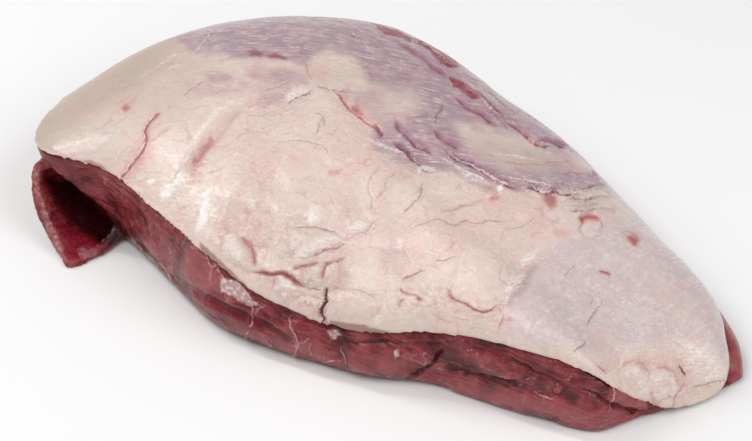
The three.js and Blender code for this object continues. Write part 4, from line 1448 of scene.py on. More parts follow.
    AREAS = (
        Patch("film back", Layer.FILM, ((130, 0), (168, 30), (182, 46), (191, 54), (208, 55), (225, 55),
            (236, 60), (258, 61), (290, 62), (306, 68), (314, 56), (330, 52), (352, 58), (364, 72),
            (364, 84), (336, 88), (346, 98), (366, 114), (384, 132), (398, 152), (424, 168), (452, 168),
            (482, 182), (520, 190), (560, 192), (600, 190), (700, 210), (660, 90), (500, -30), (200, -30)),
            9.0),
        Patch("film bare a", Layer.FILM, ((336, 84), (372, 84), (412, 86), (424, 108), (404, 124),
            (384, 124), (360, 108)), 12.0, -0.5),
        Patch("film bare b", Layer.FILM, ((452, 124), (478, 120), (500, 128), (524, 134), (560, 152),
            (600, 160), (600, 176), (552, 168), (508, 172), (470, 152)), 11.0, -0.6),
        Patch("film foot", Layer.FILM, ((370, 126), (392, 128), (420, 146), (448, 152), (480, 176),
            (500, 190), (484, 190), (450, 172), (420, 172), (392, 160), (372, 146)), 7.0, 0.9),
        Patch("film patch a", Layer.FILM, ((203, 70), (217, 68), (235, 74), (240, 84), (217, 88),
            (201, 80)), 8.0, 0.62),
        Patch("film patch b", Layer.FILM, ((254, 98), (268, 90), (290, 88), (284, 102), (266, 110)), 9.0,
            0.58),
        Patch("film patch c", Layer.FILM, ((180, 74), (205, 78), (237, 74), (262, 76), (300, 80), (292, 94),
            (250, 98), (215, 102), (180, 98)), 12.0, 0.45),
        Patch("film patch d", Layer.FILM, ((240, 64), (290, 64), (308, 68), (310, 84), (280, 88),
            (250, 82)), 9.0, 0.62),
        Patch("film patch e", Layer.FILM, ((108, 86), (124, 78), (140, 80), (126, 94), (110, 94)), 10.0,
            0.35),
        Patch("butter a", Layer.TAN, ((310, 60), (356, 66), (362, 84), (330, 86), (308, 80)), 12.0, 0.4),
        Patch("butter b", Layer.TAN, ((470, 138), (500, 142), (556, 156), (560, 170), (506, 172),
            (476, 158)), 10.0, 0.8),
        # The next two patches are painted shade over the left shoulder and limb.
        Patch("butter c", Layer.TAN, ((10, 180), (30, 90), (60, 60), (130, 36), (190, 16), (208, 60),
            (184, 106), (156, 146), (118, 178), (40, 190)), 28.0, 0.5),
        Patch("butter e", Layer.TAN, ((0, 150), (24, 84), (56, 50), (130, 20), (190, 4), (186, 48),
            (150, 86), (112, 110), (76, 132), (44, 160)), 26.0, 1.2),
        Patch("butter d", Layer.TAN, ((274, 256), (290, 246), (320, 264), (316, 284), (296, 280)), 12.0,
            0.4),
        Patch("brown limb", Layer.EDGE, ((150, 34), (176, 26), (206, 18), (240, 10), (240, 14), (206, 24),
            (176, 33), (152, 40)), 3.0, 0.9),
        # Painted shade under the rim of the cut side, and on the shoulder.
        Patch("shaded rim left", Layer.EDGE, ((197, 239), (208, 245), (228, 266), (254, 290), (280, 309),
            (274, 322), (246, 304), (220, 282), (199, 256)), 5.5, 1.05),
        Patch("shaded rim right", Layer.EDGE, ((328, 318), (350, 322), (380, 328), (398, 333), (376, 340),
            (346, 336), (328, 332)), 4.5, 1.05),
        Patch("shaded shoulder", Layer.EDGE, ((78, 157), (92, 158), (104, 164), (114, 178), (104, 180),
            (90, 170)), 3.5, 0.9),
        Patch("haze right", Layer.HAZE_AND_LIGHT, ((502, 330), (506, 304), (514, 286), (526, 272), (542, 254),
            (556, 240), (572, 226), (600, 214), (650, 210), (800, 340), (780, 372), (730, 372), (704, 352),
            (660, 346), (600, 356), (550, 350), (510, 338)), 17.0),
        Patch("haze folds", Layer.HAZE_AND_LIGHT, ((540, 206), (570, 196), (640, 200), (640, 226), (590, 240),
            (552, 236)), 10.0, 0.5),
        # Painted shade in the step, the hollow and the folds; the smudge is a faint darker patch.
        Patch("step shade", Layer.DARK, ((532, 262), (538, 266), (530, 280), (520, 294), (510, 308),
            (504, 306), (514, 286), (524, 270)), 4.5, 0.4),
        Patch("smudge", Layer.DARK, ((382, 249), (396, 246), (410, 250), (406, 258), (390, 259)), 5.0,
            0.16),
        Patch("hollow shade", Layer.DARK, ((252, 98), (238, 116), (222, 136), (212, 150), (206, 158),
            (214, 142), (226, 124), (240, 106)), 4.5, 0.22),
        Patch("fold shade a", Layer.DARK, ((407, 138), (416, 143), (428, 150), (420, 150), (410, 144)), 2.5,
            0.5),
        Patch("fold shade b", Layer.DARK, ((406, 152), (412, 154), (420, 164), (416, 166), (408, 158)), 2.5,
            0.7),
        Patch("fold shade c", Layer.DARK, ((478, 168), (496, 176), (512, 186), (500, 185), (484, 176)), 3.0,
            0.85),
        Patch("fold shade d", Layer.DARK, ((440, 136), (453, 144), (448, 147), (440, 141)), 2.5, 0.8),
        Patch("red spot", Layer.BLOOD, ((120, 106), (124, 100), (132, 97), (138, 90), (137, 102),
            (132, 110), (124, 113)), 4.0, 0.45),
        Patch("red spot heart", Layer.BLOOD, ((121, 108), (127, 102), (130, 108), (124, 112)), 2.5, 1.2),
        Patch("rust a", Layer.BLOOD, ((247, 51), (254, 48), (264, 52), (262, 57), (252, 56)), 3.0, 1.3),
        Patch("rust b", Layer.BLOOD, ((265, 55), (276, 53), (288, 57), (286, 60), (272, 59)), 3.0, 1.4),
        Patch("blush a", Layer.BLOOD, ((480, 190), (506, 190), (528, 196), (520, 216), (494, 214)), 13.0,
            0.26),
        Patch("blush b", Layer.BLOOD, ((524, 204), (548, 204), (552, 224), (540, 240), (524, 232)), 10.0,
            0.28),
        Patch("blush c", Layer.BLOOD, ((541, 194), (550, 192), (558, 196), (556, 207), (549, 209),
            (544, 201)), 3.5, 1.1),
        Patch("blush d", Layer.BLOOD, ((222, 200), (262, 196), (272, 250), (250, 262), (232, 236)), 13.0,
            0.22),
        Patch("blush e", Layer.BLOOD, ((642, 360), (690, 340), (694, 400), (668, 412), (648, 396)), 13.0,
            0.26),
        Patch("blush f", Layer.BLOOD, ((552, 150), (580, 160), (600, 178), (580, 180), (552, 168)), 9.0,
            0.4),
        Patch("blush g", Layer.BLOOD, ((506, 316), (513, 318), (512, 324), (505, 322)), 2.5, 0.6),
        Patch("blush h", Layer.BLOOD, ((203, 138), (213, 138), (206, 158), (200, 184), (186, 184),
            (191, 160)), 5.0, 0.5),
        Patch("blush n", Layer.BLOOD, ((244, 62), (330, 64), (326, 84), (250, 84)), 9.0, 0.28),
        Patch("blush i", Layer.BLOOD, ((120, 170), (138, 140), (150, 128), (152, 146), (142, 168),
            (126, 180)), 5.0, 0.42),
        Patch("blush j", Layer.BLOOD, ((62, 108), (78, 104), (86, 112), (78, 124), (64, 122)), 8.0, 0.2),
        Patch("blush k", Layer.BLOOD, ((330, 96), (352, 100), (384, 128), (370, 130), (346, 116)), 5.0,
            0.3),
        Patch("blush l", Layer.BLOOD, ((400, 168), (412, 170), (408, 180), (396, 180)), 5.0, 0.3),
        Patch("blush m", Layer.BLOOD, ((380, 44), (440, 70), (520, 110), (560, 140), (540, 140), (500, 122),
            (450, 92), (410, 62)), 7.0, 0.3),
        Patch("muscle crest", Layer.MUSCLE, ((413, 36), (425, 40), (437, 44), (447, 51), (456, 59),
            (460, 67), (450, 69), (440, 61), (430, 51), (420, 45)), 2.5, 1.0, 0.7),
        Patch("muscle strip", Layer.MUSCLE, ((372, 16), (386, 26), (400, 31), (412, 37), (410, 42),
            (396, 37), (382, 31), (370, 22)), 2.5),
        Patch("muscle slit", Layer.MUSCLE, ((450, 76), (459, 78), (469, 86), (482, 92), (484, 98),
            (474, 98), (464, 92), (454, 86)), 2.5),
        Patch("muscle dot", Layer.MUSCLE, ((592, 168), (598, 168), (600, 176), (593, 175)), 2.5, 0.8),
        Patch("puff left", Layer.PUFF, ((205, 195), (240, 190), (330, 215), (345, 250), (320, 300),
            (290, 300), (250, 275), (215, 240)), 14.0, 0.55),
        Patch("puff lobe", Layer.PUFF, ((262, 236), (300, 232), (330, 246), (318, 262), (284, 270),
            (262, 262)), 6.0, 0.8),
        Patch("puff middle", Layer.PUFF, ((400, 268), (500, 296), (498, 332), (430, 330), (404, 300)), 12.0,
            0.5),
        Patch("puff tip", Layer.PUFF, ((606, 362), (650, 350), (716, 366), (716, 392), (660, 414),
            (640, 396)), 12.0, 0.7),
        Patch("puff scallop", Layer.PUFF, ((538, 204), (552, 206), (564, 222), (560, 236), (546, 226)), 4.0,
            1.0),
        Patch("cushion a", Layer.PUFF, ((291, 273), (298, 269), (310, 266), (320, 263), (322, 272),
            (320, 283), (308, 287), (298, 282)), 3.0, 1.0, 1.5),
        Patch("cushion b", Layer.PUFF, ((325, 268), (332, 263), (342, 262), (346, 272), (342, 283),
            (330, 287), (324, 281)), 3.5, 0.9, 1.4),
        Patch("cushion c", Layer.PUFF, ((273, 279), (281, 276), (290, 281), (300, 290), (296, 298),
            (284, 297), (274, 290)), 3.0, 0.9, 1.2),
        Patch("cushion d", Layer.PUFF, ((294, 302), (306, 298), (322, 303), (320, 316), (322, 330),
            (306, 320), (292, 308)), 3.5, 0.8, 1.2),
        Patch("cushion e", Layer.PUFF, ((328, 298), (344, 291), (364, 295), (378, 303), (372, 318),
            (348, 316), (330, 314)), 5.0, 0.2, 1.3),
        Patch("cushion f", Layer.PUFF, ((208, 238), (224, 226), (240, 240), (250, 256), (248, 270),
            (232, 262), (216, 250)), 4.5, 0.9, 1.6),
        Patch("cushion g", Layer.PUFF, ((242, 214), (254, 204), (268, 212), (272, 232), (262, 246),
            (250, 236)), 5.0, 0.3, 0.8),
        Patch("cushion h", Layer.PUFF, ((290, 232), (312, 228), (332, 234), (342, 240), (322, 250),
            (302, 258), (284, 250)), 4.0, 0.5, 0.6),
        Patch("cushion i", Layer.PUFF, ((404, 300), (416, 298), (430, 302), (432, 312), (418, 316),
            (404, 310)), 4.0, 0.3, 0.6),
        Patch("cushion j", Layer.PUFF, ((586, 217), (597, 216), (600, 226), (594, 234), (585, 230)), 3.0,
            0.0, 0.7),
        Patch("cushion k", Layer.PUFF, ((622, 374), (636, 364), (648, 374), (646, 386), (630, 386)), 4.0,
            0.3, 0.7),
        Patch("cushion l", Layer.PUFF, ((654, 376), (666, 369), (676, 378), (676, 392), (660, 396)), 4.0,
            0.3, 0.8),
        Patch("cushion m", Layer.PUFF, ((656, 398), (668, 397), (674, 404), (666, 409), (656, 406)), 2.5,
            0.3, 0.7),
        Patch("wet hollow", Layer.WET, ((166, 184), (186, 160), (206, 128), (232, 106), (214, 150),
            (192, 190), (172, 206)), 6.0, 1.0),
        Patch("wet folds", Layer.WET, ((362, 128), (430, 150), (500, 176), (560, 178), (620, 190),
            (560, 210), (480, 196), (400, 176)), 9.0, 1.0),
        Patch("wet lobes", Layer.WET, ((206, 200), (260, 190), (340, 200), (380, 210), (360, 250),
            (350, 300), (320, 312), (270, 300), (230, 262), (210, 232)), 10.0, 0.9),
        Patch("wet middle", Layer.WET, ((390, 230), (430, 260), (500, 280), (500, 330), (430, 330),
            (380, 322), (384, 270)), 14.0, 0.5),
        Patch("wet ridge", Layer.WET, ((240, 112), (282, 84), (314, 82), (314, 96), (276, 130), (244, 132)),
            7.0, 0.8),
        Patch("wet step", Layer.WET, ((530, 244), (548, 248), (520, 296), (500, 330), (490, 320),
            (506, 270)), 6.0, 1.0),
        Patch("wet tip", Layer.WET, ((560, 260), (640, 280), (712, 350), (724, 384), (660, 400), (590, 340),
            (540, 320)), 16.0, 0.7),
        Patch("wet back", Layer.WET, ((220, 20), (380, 30), (450, 90), (540, 150), (460, 130), (370, 90),
            (240, 60)), 14.0, 0.35),
        # Painted highlights: the patches below turn the colour white.
        Patch("gloss hollow", Layer.PALE_AND_HIGHLIGHT, ((160, 190), (172, 180), (182, 172), (187, 176), (181, 187),
            (167, 200), (160, 198)), 5.0, 0.95),
        Patch("gloss bank", Layer.PALE_AND_HIGHLIGHT, ((240, 100), (222, 112), (206, 130), (198, 143), (186, 162),
            (180, 170), (176, 166), (186, 148), (196, 130), (212, 110), (232, 98)), 3.5, 0.6),
        Patch("gloss plate", Layer.PALE_AND_HIGHLIGHT, ((201, 192), (211, 190), (211, 206), (208, 220), (201, 232),
            (195, 232), (199, 216)), 4.5, 0.9),
        Patch("gloss a", Layer.PALE_AND_HIGHLIGHT, ((145, 182), (150, 177), (157, 180), (150, 187)), 3.0, 0.8),
        Patch("gloss b", Layer.PALE_AND_HIGHLIGHT, ((222, 232), (234, 234), (246, 250), (242, 264), (228, 252)), 5.0,
            0.5),
        Patch("gloss c", Layer.PALE_AND_HIGHLIGHT, ((300, 246), (320, 236), (338, 232), (344, 240), (330, 246),
            (312, 254), (300, 262), (286, 262)), 5.0, 0.6),
        Patch("gloss d", Layer.PALE_AND_HIGHLIGHT, ((346, 222), (360, 217), (369, 225), (358, 232), (346, 232)), 5.0,
            0.66),
        Patch("gloss e", Layer.PALE_AND_HIGHLIGHT, ((248, 197), (258, 198), (257, 211), (250, 208)), 3.0, 0.6),
        Patch("gloss f", Layer.PALE_AND_HIGHLIGHT, ((268, 202), (280, 203), (279, 212), (271, 211)), 3.0, 0.7),
        Patch("gloss g", Layer.PALE_AND_HIGHLIGHT, ((310, 203), (321, 205), (319, 222), (304, 222), (308, 212)), 4.0,
            0.7),
        Patch("gloss h", Layer.PALE_AND_HIGHLIGHT, ((397, 237), (404, 239), (402, 251), (397, 249)), 2.5, 0.7),
        Patch("gloss i", Layer.PALE_AND_HIGHLIGHT, ((373, 314), (383, 315), (381, 326), (374, 325)), 3.0, 0.6),
        Patch("gloss j", Layer.PALE_AND_HIGHLIGHT, ((520, 257), (530, 247), (541, 247), (537, 256), (524, 266)), 4.5,
            0.66),
        Patch("gloss k", Layer.PALE_AND_HIGHLIGHT, ((504, 285), (512, 276), (524, 269), (527, 276), (516, 289),
            (507, 297)), 4.5, 0.6),
        Patch("gloss l", Layer.PALE_AND_HIGHLIGHT, ((495, 186), (501, 185), (503, 190), (498, 192)), 2.0, 1.0),
        Patch("gloss m", Layer.PALE_AND_HIGHLIGHT, ((371, 136), (391, 145), (393, 151), (376, 147)), 3.5, 0.66),
        Patch("gloss n", Layer.PALE_AND_HIGHLIGHT, ((414, 163), (436, 167), (435, 173), (418, 173)), 3.0, 0.75),
        Patch("gloss o", Layer.PALE_AND_HIGHLIGHT, ((284, 92), (296, 86), (312, 84), (312, 92), (296, 102), (286, 106)),
            4.0, 0.6),
        Patch("gloss p", Layer.PALE_AND_HIGHLIGHT, ((264, 262), (276, 266), (288, 262), (300, 272), (284, 270),
            (270, 270)), 4.0, 0.6),
        Patch("gloss q", Layer.PALE_AND_HIGHLIGHT, ((278, 276), (288, 280), (302, 290), (292, 292), (280, 286)), 3.5,
            0.7),
        Patch("gloss r", Layer.PALE_AND_HIGHLIGHT, ((596, 296), (606, 294), (604, 304), (597, 310)), 3.0, 0.6),
        Patch("gloss s", Layer.PALE_AND_HIGHLIGHT, ((424, 186), (452, 190), (456, 196), (430, 196)), 5.0, 0.45),
        Patch("gloss tip", Layer.PALE_AND_HIGHLIGHT, ((664, 334), (696, 336), (722, 350), (728, 384), (702, 388),
            (684, 362)), 12.0, 0.58),
        Patch("gloss tip lobes", Layer.PALE_AND_HIGHLIGHT, ((626, 366), (676, 368), (690, 396), (664, 410), (640, 396)),
            10.0, 0.52),
        Patch("gloss t", Layer.PALE_AND_HIGHLIGHT, ((452, 166), (470, 173), (492, 184), (486, 188), (466, 180)), 3.5,
            0.56),
    )

    def build(self) -> bpy.types.Object:
        """Builds and dresses the fat cap."""
        piece = self.copy.build(self.underside)
        self.shape(piece.data)
        DenseCopy.refine(piece, self.LINES, self.fine_reach)
        skin = Skin(piece.data)
        self.find_edge(skin)
        self.find_far_side(skin)
        skin.loosen()
        for patch in self.AREAS:
            skin.fill(patch)
        for stroke in self.LINES:
            skin.cut(stroke)
        skin.store()
        sizes = {
            "Plate depth": self.plate_depth,
            "Bead depth": self.bead_depth,
            "Cushion depth": self.cushion_depth,
            "Swell": self.swell,
            "Knead": self.knead,
        }
        FatRelief("fat_relief", self.finish.build(), sizes).dress(piece)
        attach(piece, "root")
        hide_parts("fat_cap")
        return piece

    def shape(self, mesh: bpy.types.Mesh) -> None:
        """Rounds the shoulder over the thick end, and lowers the rim at the tip."""
        skin = Skin(mesh)
        x = skin.points[:, 0] / MM
        shoulder = ease(*self.shoulder, x) * ease(0.0, 0.25, skin.normals[:, 2])
        DenseCopy.relax(mesh, [0.5] * self.rounding, shoulder)
        DenseCopy.relax(mesh, [0.5, -0.52] * self.calming, np.ones(len(shoulder)))
        points = read_points(mesh)
        points[:, 2] -= self.rim_drop * tip_share(points)
        write_points(mesh, points)

    @staticmethod
    def underside(points: np.ndarray, normals: np.ndarray) -> np.ndarray:
        """Marks the face that lies on the meat."""
        return (normals[:, 2] < -0.15).astype(float)

    @staticmethod
    def find_edge(skin: Skin) -> None:
        """Marks the cut side of the fat, all the way round, for painted shade that is darker towards its
        foot.
        """
        skin.layers[Layer.EDGE] = ease(0.42, 0.02, skin.normals[:, 2]) * 0.55

    def find_far_side(self, skin: Skin) -> None:
        """Carries the finish of the near side over the back: the darker, yellower cream with its painted
        shade, then filmed and hazy in turn.

        Args:
            skin: The fat's skin, before it is stained.
        """
        away = ease(0.32, 0.1, skin.facing) * ease(0.1, 0.4, skin.normals[:, 2])
        across = skin.pixels[:, 0]
        film, haze = ease(*self.film_from, across), ease(*self.haze_from, across)
        # The darker, yellower cream carried round here includes the shoulder's painted shade.
        skin.layers[Layer.TAN] = away * (1.0 - film) * 0.9
        skin.layers[Layer.FILM] = away * film * (1.0 - haze)
        skin.layers[Layer.HAZE_AND_LIGHT] = away * haze


@dataclass
class Meat:
    """The muscle, with the open pocket and its flap at the left end."""

    copy: DenseCopy = field(default_factory=lambda: DenseCopy("meat", "meat_dressed", 0.8 * MM, coarse=0.16))
    finish: MeatFinish = field(default_factory=MeatFinish)
    lump_height: float = 1.5 * MM
    dent_depth: float = 0.6 * MM
    strand_height: float = 0.25 * MM
    tip_tuck: float = 2.4 * MM
    tip_centre: tuple[float, float] = (0.06, -0.02)
    fine_reach: float = 4.0

    LINES = (
        Stroke("rim shade left", Mark.GROOVE, ((80, 170), (97, 170), (107, 177), (118, 186), (130, 195),
            (150, 213), (170, 231), (190, 244), (210, 260), (230, 275), (250, 295), (270, 307), (300, 323),
            (325, 341)), 1.6, 0.3, blunt=True),
        Stroke("rim shade right", Mark.GROOVE, ((345, 339), (370, 340), (400, 341), (436, 342), (460, 339),
            (480, 340), (500, 349), (520, 353), (540, 366), (565, 376), (590, 382), (620, 392), (640, 406)),
            1.6, 0.2, blunt=True),
        # The furrows' dark, and the line under the fat's edge, are painted shade.
        Stroke("wall furrow a", Mark.GROOVE, ((188, 285), (207, 298), (223, 306), (240, 314), (262, 325),
            (284, 336), (300, 344)), 3.4, 1.1, dark=0.5),
        Stroke("wall furrow b", Mark.GROOVE, ((405, 378), (418, 373), (430, 365), (440, 354), (444, 345)),
            1.8, 1.1, dark=0.8),
        Stroke("wall furrow c", Mark.GROOVE, ((440, 362), (456, 370), (474, 376), (492, 379), (508, 382),
            (526, 384)), 2.2, 1.0, dark=0.5),
        Stroke("wall furrow d", Mark.GROOVE, ((500, 354), (512, 360), (524, 367), (536, 374), (552, 380),
            (570, 388)), 2.0, 0.9, dark=0.5),
        Stroke("wall furrow e", Mark.GROOVE, ((574, 386), (592, 394), (610, 404), (628, 410), (646, 414)),
            2.0, 0.9, dark=0.5),
        Stroke("wall furrow f", Mark.GROOVE, ((136, 236), (146, 250), (160, 266), (176, 282)), 1.8, 0.6,
            dark=0.3),
        Stroke("wall furrow g", Mark.GROOVE, ((455, 400), (476, 406), (500, 410), (530, 416), (556, 420)),
            2.2, 0.8, dark=0.35),
        Stroke("dark line", Mark.CRACK, ((338, 341), (352, 343), (370, 343), (392, 343), (412, 345)), 1.6,
            0.8, dark=0.9),
        Stroke("fascia line", Mark.RIDGE, ((126, 230), (138, 246), (150, 258), (165, 270), (173, 283),
            (181, 292)), 1.0, 0.3, pale=0.6),
        Stroke("strand a", Mark.RIDGE, ((250, 302), (252, 312), (252, 320), (250, 329), (244, 339)), 1.3,
            0.7, pale=1.0, blunt=True),
        Stroke("strand a top", Mark.RIDGE, ((266, 305), (260, 309), (254, 315)), 0.9, 0.3, pale=0.6),
        Stroke("strand b", Mark.RIDGE, ((290, 318), (292, 328), (297, 337), (299, 344), (296, 352),
            (292, 356)), 1.4, 0.7, pale=1.0, blunt=True),
        Stroke("strand c", Mark.RIDGE, ((264, 333), (268, 341), (273, 351)), 0.9, 0.4, pale=0.8),
        Stroke("strand d", Mark.RIDGE, ((300, 345), (304, 342), (310, 337)), 0.9, 0.4, pale=0.7),
        Stroke("strand e", Mark.RIDGE, ((311, 341), (310, 349), (311, 358)), 0.9, 0.3, pale=0.6),
        Stroke("strand f", Mark.RIDGE, ((322, 363), (332, 361), (342, 362)), 0.9, 0.3, pale=0.9),
        Stroke("strand g", Mark.RIDGE, ((339, 345), (343, 355), (346, 364), (349, 373)), 0.9, 0.4,
            pale=0.7),
        Stroke("strand h", Mark.RIDGE, ((518, 388), (524, 381), (530, 377)), 0.9, 0.4, pale=0.8),
        Stroke("strand i", Mark.RIDGE, ((532, 391), (544, 396), (556, 399)), 0.8, 0.3, pale=0.8),
        Stroke("strand j", Mark.RIDGE, ((609, 379), (612, 389), (611, 401), (608, 414)), 0.9, 0.4,
            pale=0.8),
        Stroke("strand k", Mark.RIDGE, ((348, 374), (360, 376), (376, 377), (396, 377), (410, 376)), 0.9,
            0.3, pale=0.6),
        Stroke("ring", Mark.GROOVE, ((552, 390), (556, 386), (562, 387), (565, 391), (561, 395), (555, 395),
            (552, 390)), 1.0, 0.5, dark=0.4, blunt=True),
        Stroke("thread a", Mark.RIDGE, ((186, 238), (183, 245)), 0.7, 0.3, pale=1.0, blunt=True),
        Stroke("thread b", Mark.RIDGE, ((190, 242), (197, 249)), 0.7, 0.3, pale=0.8, blunt=True),
        Stroke("thread c", Mark.RIDGE, ((205, 253), (208, 259)), 0.8, 0.3, pale=1.0, blunt=True),
        Stroke("thread d", Mark.RIDGE, ((209, 262), (213, 269)), 0.8, 0.3, pale=1.0, blunt=True),
        Stroke("thread e", Mark.RIDGE, ((216, 264), (211, 273)), 0.8, 0.3, pale=1.0, blunt=True),
        Stroke("thread f", Mark.RIDGE, ((218, 270), (224, 277)), 1.0, 0.4, pale=0.9, blunt=True),
        # Painted highlight along the flap's lip.
        Stroke("flap lip gleam", Mark.RIDGE, ((34, 168), (38, 190), (47, 212), (55, 232), (63, 252)), 1.6,
            0.2, pale=0.3),
    )

    AREAS = (
        # The lighter bulges and the lit wall are painted light; the flap and the sliver are rosy in their own
        # colour.
        Patch("lit bulge", Layer.HAZE_AND_LIGHT, ((184, 244), (203, 250), (223, 277), (222, 291), (198, 289),
            (182, 268)), 5.0, 0.9, 0.4),
        Patch("membrane", Layer.PALE_AND_HIGHLIGHT, ((220, 277), (238, 281), (252, 299), (262, 308), (246, 305),
            (230, 296), (221, 292)), 4.0, 1.0),
        Patch("membrane small", Layer.PALE_AND_HIGHLIGHT, ((327, 331), (338, 329), (341, 336), (332, 341)), 3.0, 0.8),
        Patch("fat bit", Layer.PALE_AND_HIGHLIGHT, ((395, 349), (400, 348), (401, 354), (396, 355)), 1.5, 1.0, 0.6),
        Patch("olive wall", Layer.TAN, ((132, 246), (150, 262), (172, 286), (164, 290), (140, 268)), 8.0,
            0.6),
        Patch("lobe a", Layer.HAZE_AND_LIGHT, ((346, 346), (392, 346), (412, 352), (408, 374), (370, 374),
            (350, 368)), 6.0, 0.55, 1.3),
        Patch("lobe b", Layer.HAZE_AND_LIGHT, ((474, 352), (496, 356), (522, 372), (520, 378), (494, 375),
            (478, 368)), 5.0, 0.3, 1.1),
        Patch("lobe c", Layer.HAZE_AND_LIGHT, ((448, 378), (480, 386), (524, 394), (570, 402), (600, 412), (560, 418),
            (500, 406), (452, 394)), 6.0, 0.75, 1.0),
        Patch("lobe d", Layer.HAZE_AND_LIGHT, ((612, 386), (630, 390), (648, 400), (646, 408), (626, 406),
            (612, 400)), 4.0, 0.9, 1.3),
        Patch("lobe e", Layer.HAZE_AND_LIGHT, ((560, 414), (600, 414), (640, 418), (600, 436), (560, 428)), 7.0, 0.5,
            0.5),
        Patch("lobe f", Layer.HAZE_AND_LIGHT, ((120, 196), (150, 220), (180, 246), (176, 262), (150, 246),
            (124, 222)), 9.0, 0.1, 0.5),
        Patch("flap rose", Layer.HAZE_AND_LIGHT, ((28, 158), (38, 168), (42, 190), (50, 212), (58, 234), (68, 254),
            (76, 272), (60, 262), (44, 226), (32, 190)), 4.0, 0.9),
        # Painted sheen and glints on the flap.
        Patch("flap sheen", Layer.PALE_AND_HIGHLIGHT, ((30, 164), (38, 168), (42, 190), (50, 212), (58, 234), (66, 250),
            (60, 262), (44, 226), (32, 190)), 4.0, 0.42),
        Patch("lip shade", Layer.DARK, ((38, 154), (60, 155), (82, 162), (92, 169), (80, 174), (50, 169)),
            4.0, 0.22),
        Patch("sliver", Layer.HAZE_AND_LIGHT, ((720, 300), (760, 300), (760, 390), (736, 390), (728, 340)), 6.0, 1.0),
        Patch("flap glint a", Layer.PALE_AND_HIGHLIGHT, ((76, 247), (84, 249), (98, 248), (96, 256), (80, 258)), 2.0,
            1.0),
        Patch("flap glint b", Layer.PALE_AND_HIGHLIGHT, ((54, 230), (59, 234), (62, 248), (58, 248)), 2.0, 0.45),
        # Painted shade in the pocket and its corner.
        Patch("pocket", Layer.DARK, ((44, 176), (60, 180), (72, 180), (86, 196), (104, 212), (120, 226),
            (118, 238), (100, 244), (84, 234), (68, 224), (54, 204)), 7.0, 1.0),
        Patch("pocket floor", Layer.BLOOD, ((50, 214), (84, 226), (104, 240), (118, 250), (80, 264),
            (66, 254)), 8.0, 0.9),
        Patch("pocket corner", Layer.DARK, ((100, 222), (120, 220), (130, 238), (122, 248), (104, 244)),
            4.0, 0.7),
        Patch("lip", Layer.BLOOD, ((36, 152), (60, 153), (82, 160), (94, 169), (80, 175), (50, 170)), 4.0,
            0.7),
        Patch("deep furrow", Layer.BLOOD, ((190, 286), (215, 298), (240, 308), (262, 318), (256, 328),
            (232, 321), (208, 310), (192, 298)), 5.0, 0.7),
        Patch("lit wall", Layer.HAZE_AND_LIGHT, ((236, 322), (280, 336), (320, 346), (330, 366), (290, 356),
            (244, 340)), 5.0, 0.5),
        # Painted shade in the hollows, on the low wall and in the band under the rim.
        Patch("dark hollow a", Layer.DARK, ((437, 344), (452, 342), (462, 352), (456, 362), (440, 358)),
            8.0, 0.5),
        Patch("dark hollow b", Layer.DARK, ((530, 380), (540, 377), (549, 384), (544, 392), (532, 390)),
            7.0, 0.55),
        Patch("dark low wall", Layer.DARK, ((190, 296), (240, 316), (246, 332), (214, 320)), 9.0, 0.22),
        Patch("dark band", Layer.DARK, ((436, 340), (480, 342), (520, 356), (560, 374), (610, 386),
            (610, 392), (560, 384), (516, 368), (476, 350), (440, 350)), 6.0, 0.3),
    )

    def build(self) -> bpy.types.Object:
        """Builds and dresses the meat."""
        piece = self.copy.build(self.covered)
        self.shape(piece.data)
        DenseCopy.refine(piece, self.LINES, self.fine_reach)
        skin = Skin(piece.data)
        self.find_covered(skin)
        skin.loosen()
        for patch in self.AREAS:
            skin.fill(patch)
        for stroke in self.LINES:
            skin.cut(stroke)
        skin.store()
        sizes = {
            "Lump height": self.lump_height,
            "Dent depth": self.dent_depth,
            "Strand height": self.strand_height,
        }
        MeatRelief("meat_relief", self.finish.build(), sizes).dress(piece)
        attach(piece, "root")
        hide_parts("meat")
        return piece

    def shape(self, mesh: bpy.types.Mesh) -> None:
        """Draws the foot in under the low rim of the tip."""
        points = read_points(mesh)
        inward = np.array(self.tip_centre) - points[:, :2]
        inward /= np.linalg.norm(inward, axis=1)[:, None]
        points[:, :2] += inward * (self.tip_tuck * tip_share(points))[:, None]
        write_points(mesh, points)

    @staticmethod
    def covered(points: np.ndarray, normals: np.ndarray) -> np.ndarray:
        """Marks the top, which lies under the fat, and the sole."""
        return ((normals[:, 2] > 0.6) | (normals[:, 2] < -0.8)).astype(float)

    @staticmethod
    def find_covered(skin: Skin) -> None:
        """Marks where the meat may not swell: under the fat, and on its sole; paints shade on the faces that
        look down.
        """
        sole = ease(3 * MM, 1 * MM, skin.points[:, 2])
        top = ease(0.35, 0.6, skin.normals[:, 2])
        # Painted shade on the faces that look down.
        skin.layers[Layer.DARK] = ease(-0.2, -0.7, skin.normals[:, 2]) * 0.3
        skin.layers[Layer.EDGE] = np.maximum(sole, top)


@dataclass(frozen=True)
class Lamp:
    """An oblong lamp that looks at the joint, in metres and watts."""

    name: str
    place: tuple[float, float, float]
    size: tuple[float, float]
    power: float

    def hang(self) -> None:
        """Hangs the lamp in the scene."""
        data = bpy.data.lights.new(self.name, "AREA")
        data.shape = "RECTANGLE"
        (data.size, data.size_y), data.energy = self.size, self.power
        lamp = bpy.data.objects.new(self.name, data)
        lamp.location = self.place
        lamp.rotation_euler = Vector(self.place).to_track_quat("Z", "Y").to_euler()
        bpy.context.scene.collection.objects.link(lamp)


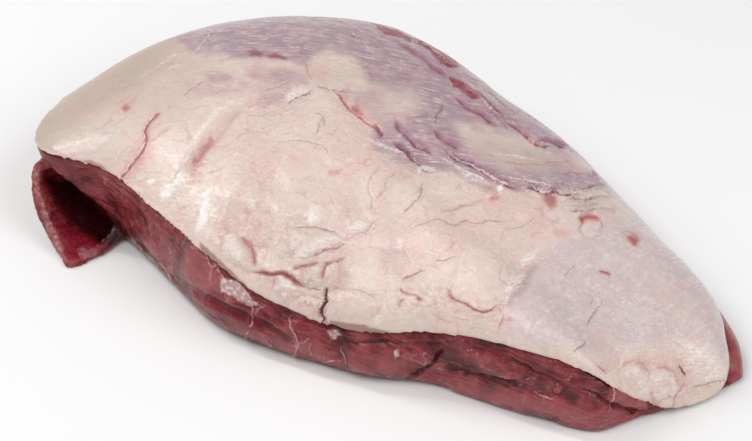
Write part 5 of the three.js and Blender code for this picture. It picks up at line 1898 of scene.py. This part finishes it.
@dataclass
class Studio:
    """A pale floor, soft lamps and an even sky."""

    floor_side: float = 4.0
    floor_drop: float = 0.3 * MM
    sky: float = 0.36

    LAMPS = (
        Lamp("front softbox", (-0.3, -0.6, 1.15), (0.6, 0.6), 5.0),
        Lamp("left strip", (-0.8, -0.06, 0.75), (0.06, 0.9), 3.8),
        Lamp("right softbox", (0.8, -0.1, 0.8), (0.8, 0.8), 4.4),
    )

    def build(self) -> None:
        """Builds the floor, the lamps and the sky."""
        self.build_floor()
        self.build_sky()
        for lamp in self.LAMPS:
            lamp.hang()
        settings = bpy.context.scene.view_settings
        settings.view_transform = "Standard"
        settings.look = "None"

    def build_floor(self) -> None:
        """Makes the floor under the joint."""
        half, low = self.floor_side / 2, -self.floor_drop
        mesh = bpy.data.meshes.new("floor")
        corners = [(-half, -half, low), (half, -half, low), (half, half, low), (-half, half, low)]
        mesh.from_pydata(corners, [], [(0, 1, 2, 3)])
        material = bpy.data.materials.new("floor")
        material.use_nodes = True
        graph = FinishGraph(material.node_tree)
        sockets = {"Base Color": (0.96, 0.96, 0.96, 1.0), "Roughness": 0.85, "Specular IOR Level": 0.1}
        shader = graph.node("ShaderNodeBsdfPrincipled", {}, sockets)
        graph.node("ShaderNodeOutputMaterial", {}, {"Surface": shader.outputs[0]})
        mesh.materials.append(material)
        floor = bpy.data.objects.new("floor", mesh)
        bpy.context.scene.collection.objects.link(floor)

    def build_sky(self) -> None:
        """Lights the scene evenly from all round."""
        world = bpy.data.worlds.new("sky")
        world.use_nodes = True
        graph = FinishGraph(world.node_tree)
        sockets = {"Color": (1.0, 1.0, 1.0, 1.0), "Strength": self.sky}
        shader = graph.node("ShaderNodeBackground", {}, sockets)
        graph.node("ShaderNodeOutputWorld", {}, {"Surface": shader.outputs[0]})
        bpy.context.scene.world = world


def report(piece: bpy.types.Object) -> None:
    """Logs a piece's name and its number of triangles."""
    faces = sum(len(face.vertices) - 2 for face in piece.data.polygons)
    LOG.info("%s: %d triangles", piece.name, faces)


def main() -> None:
    """Builds the camera, the joint and the studio, in that order."""
    logging.basicConfig(level=logging.INFO, format="%(message)s")
    VIEW.build()
    report(Meat().build())
    report(FatCap().build())
    Studio().build()


if __name__ == "__main__":
    main()
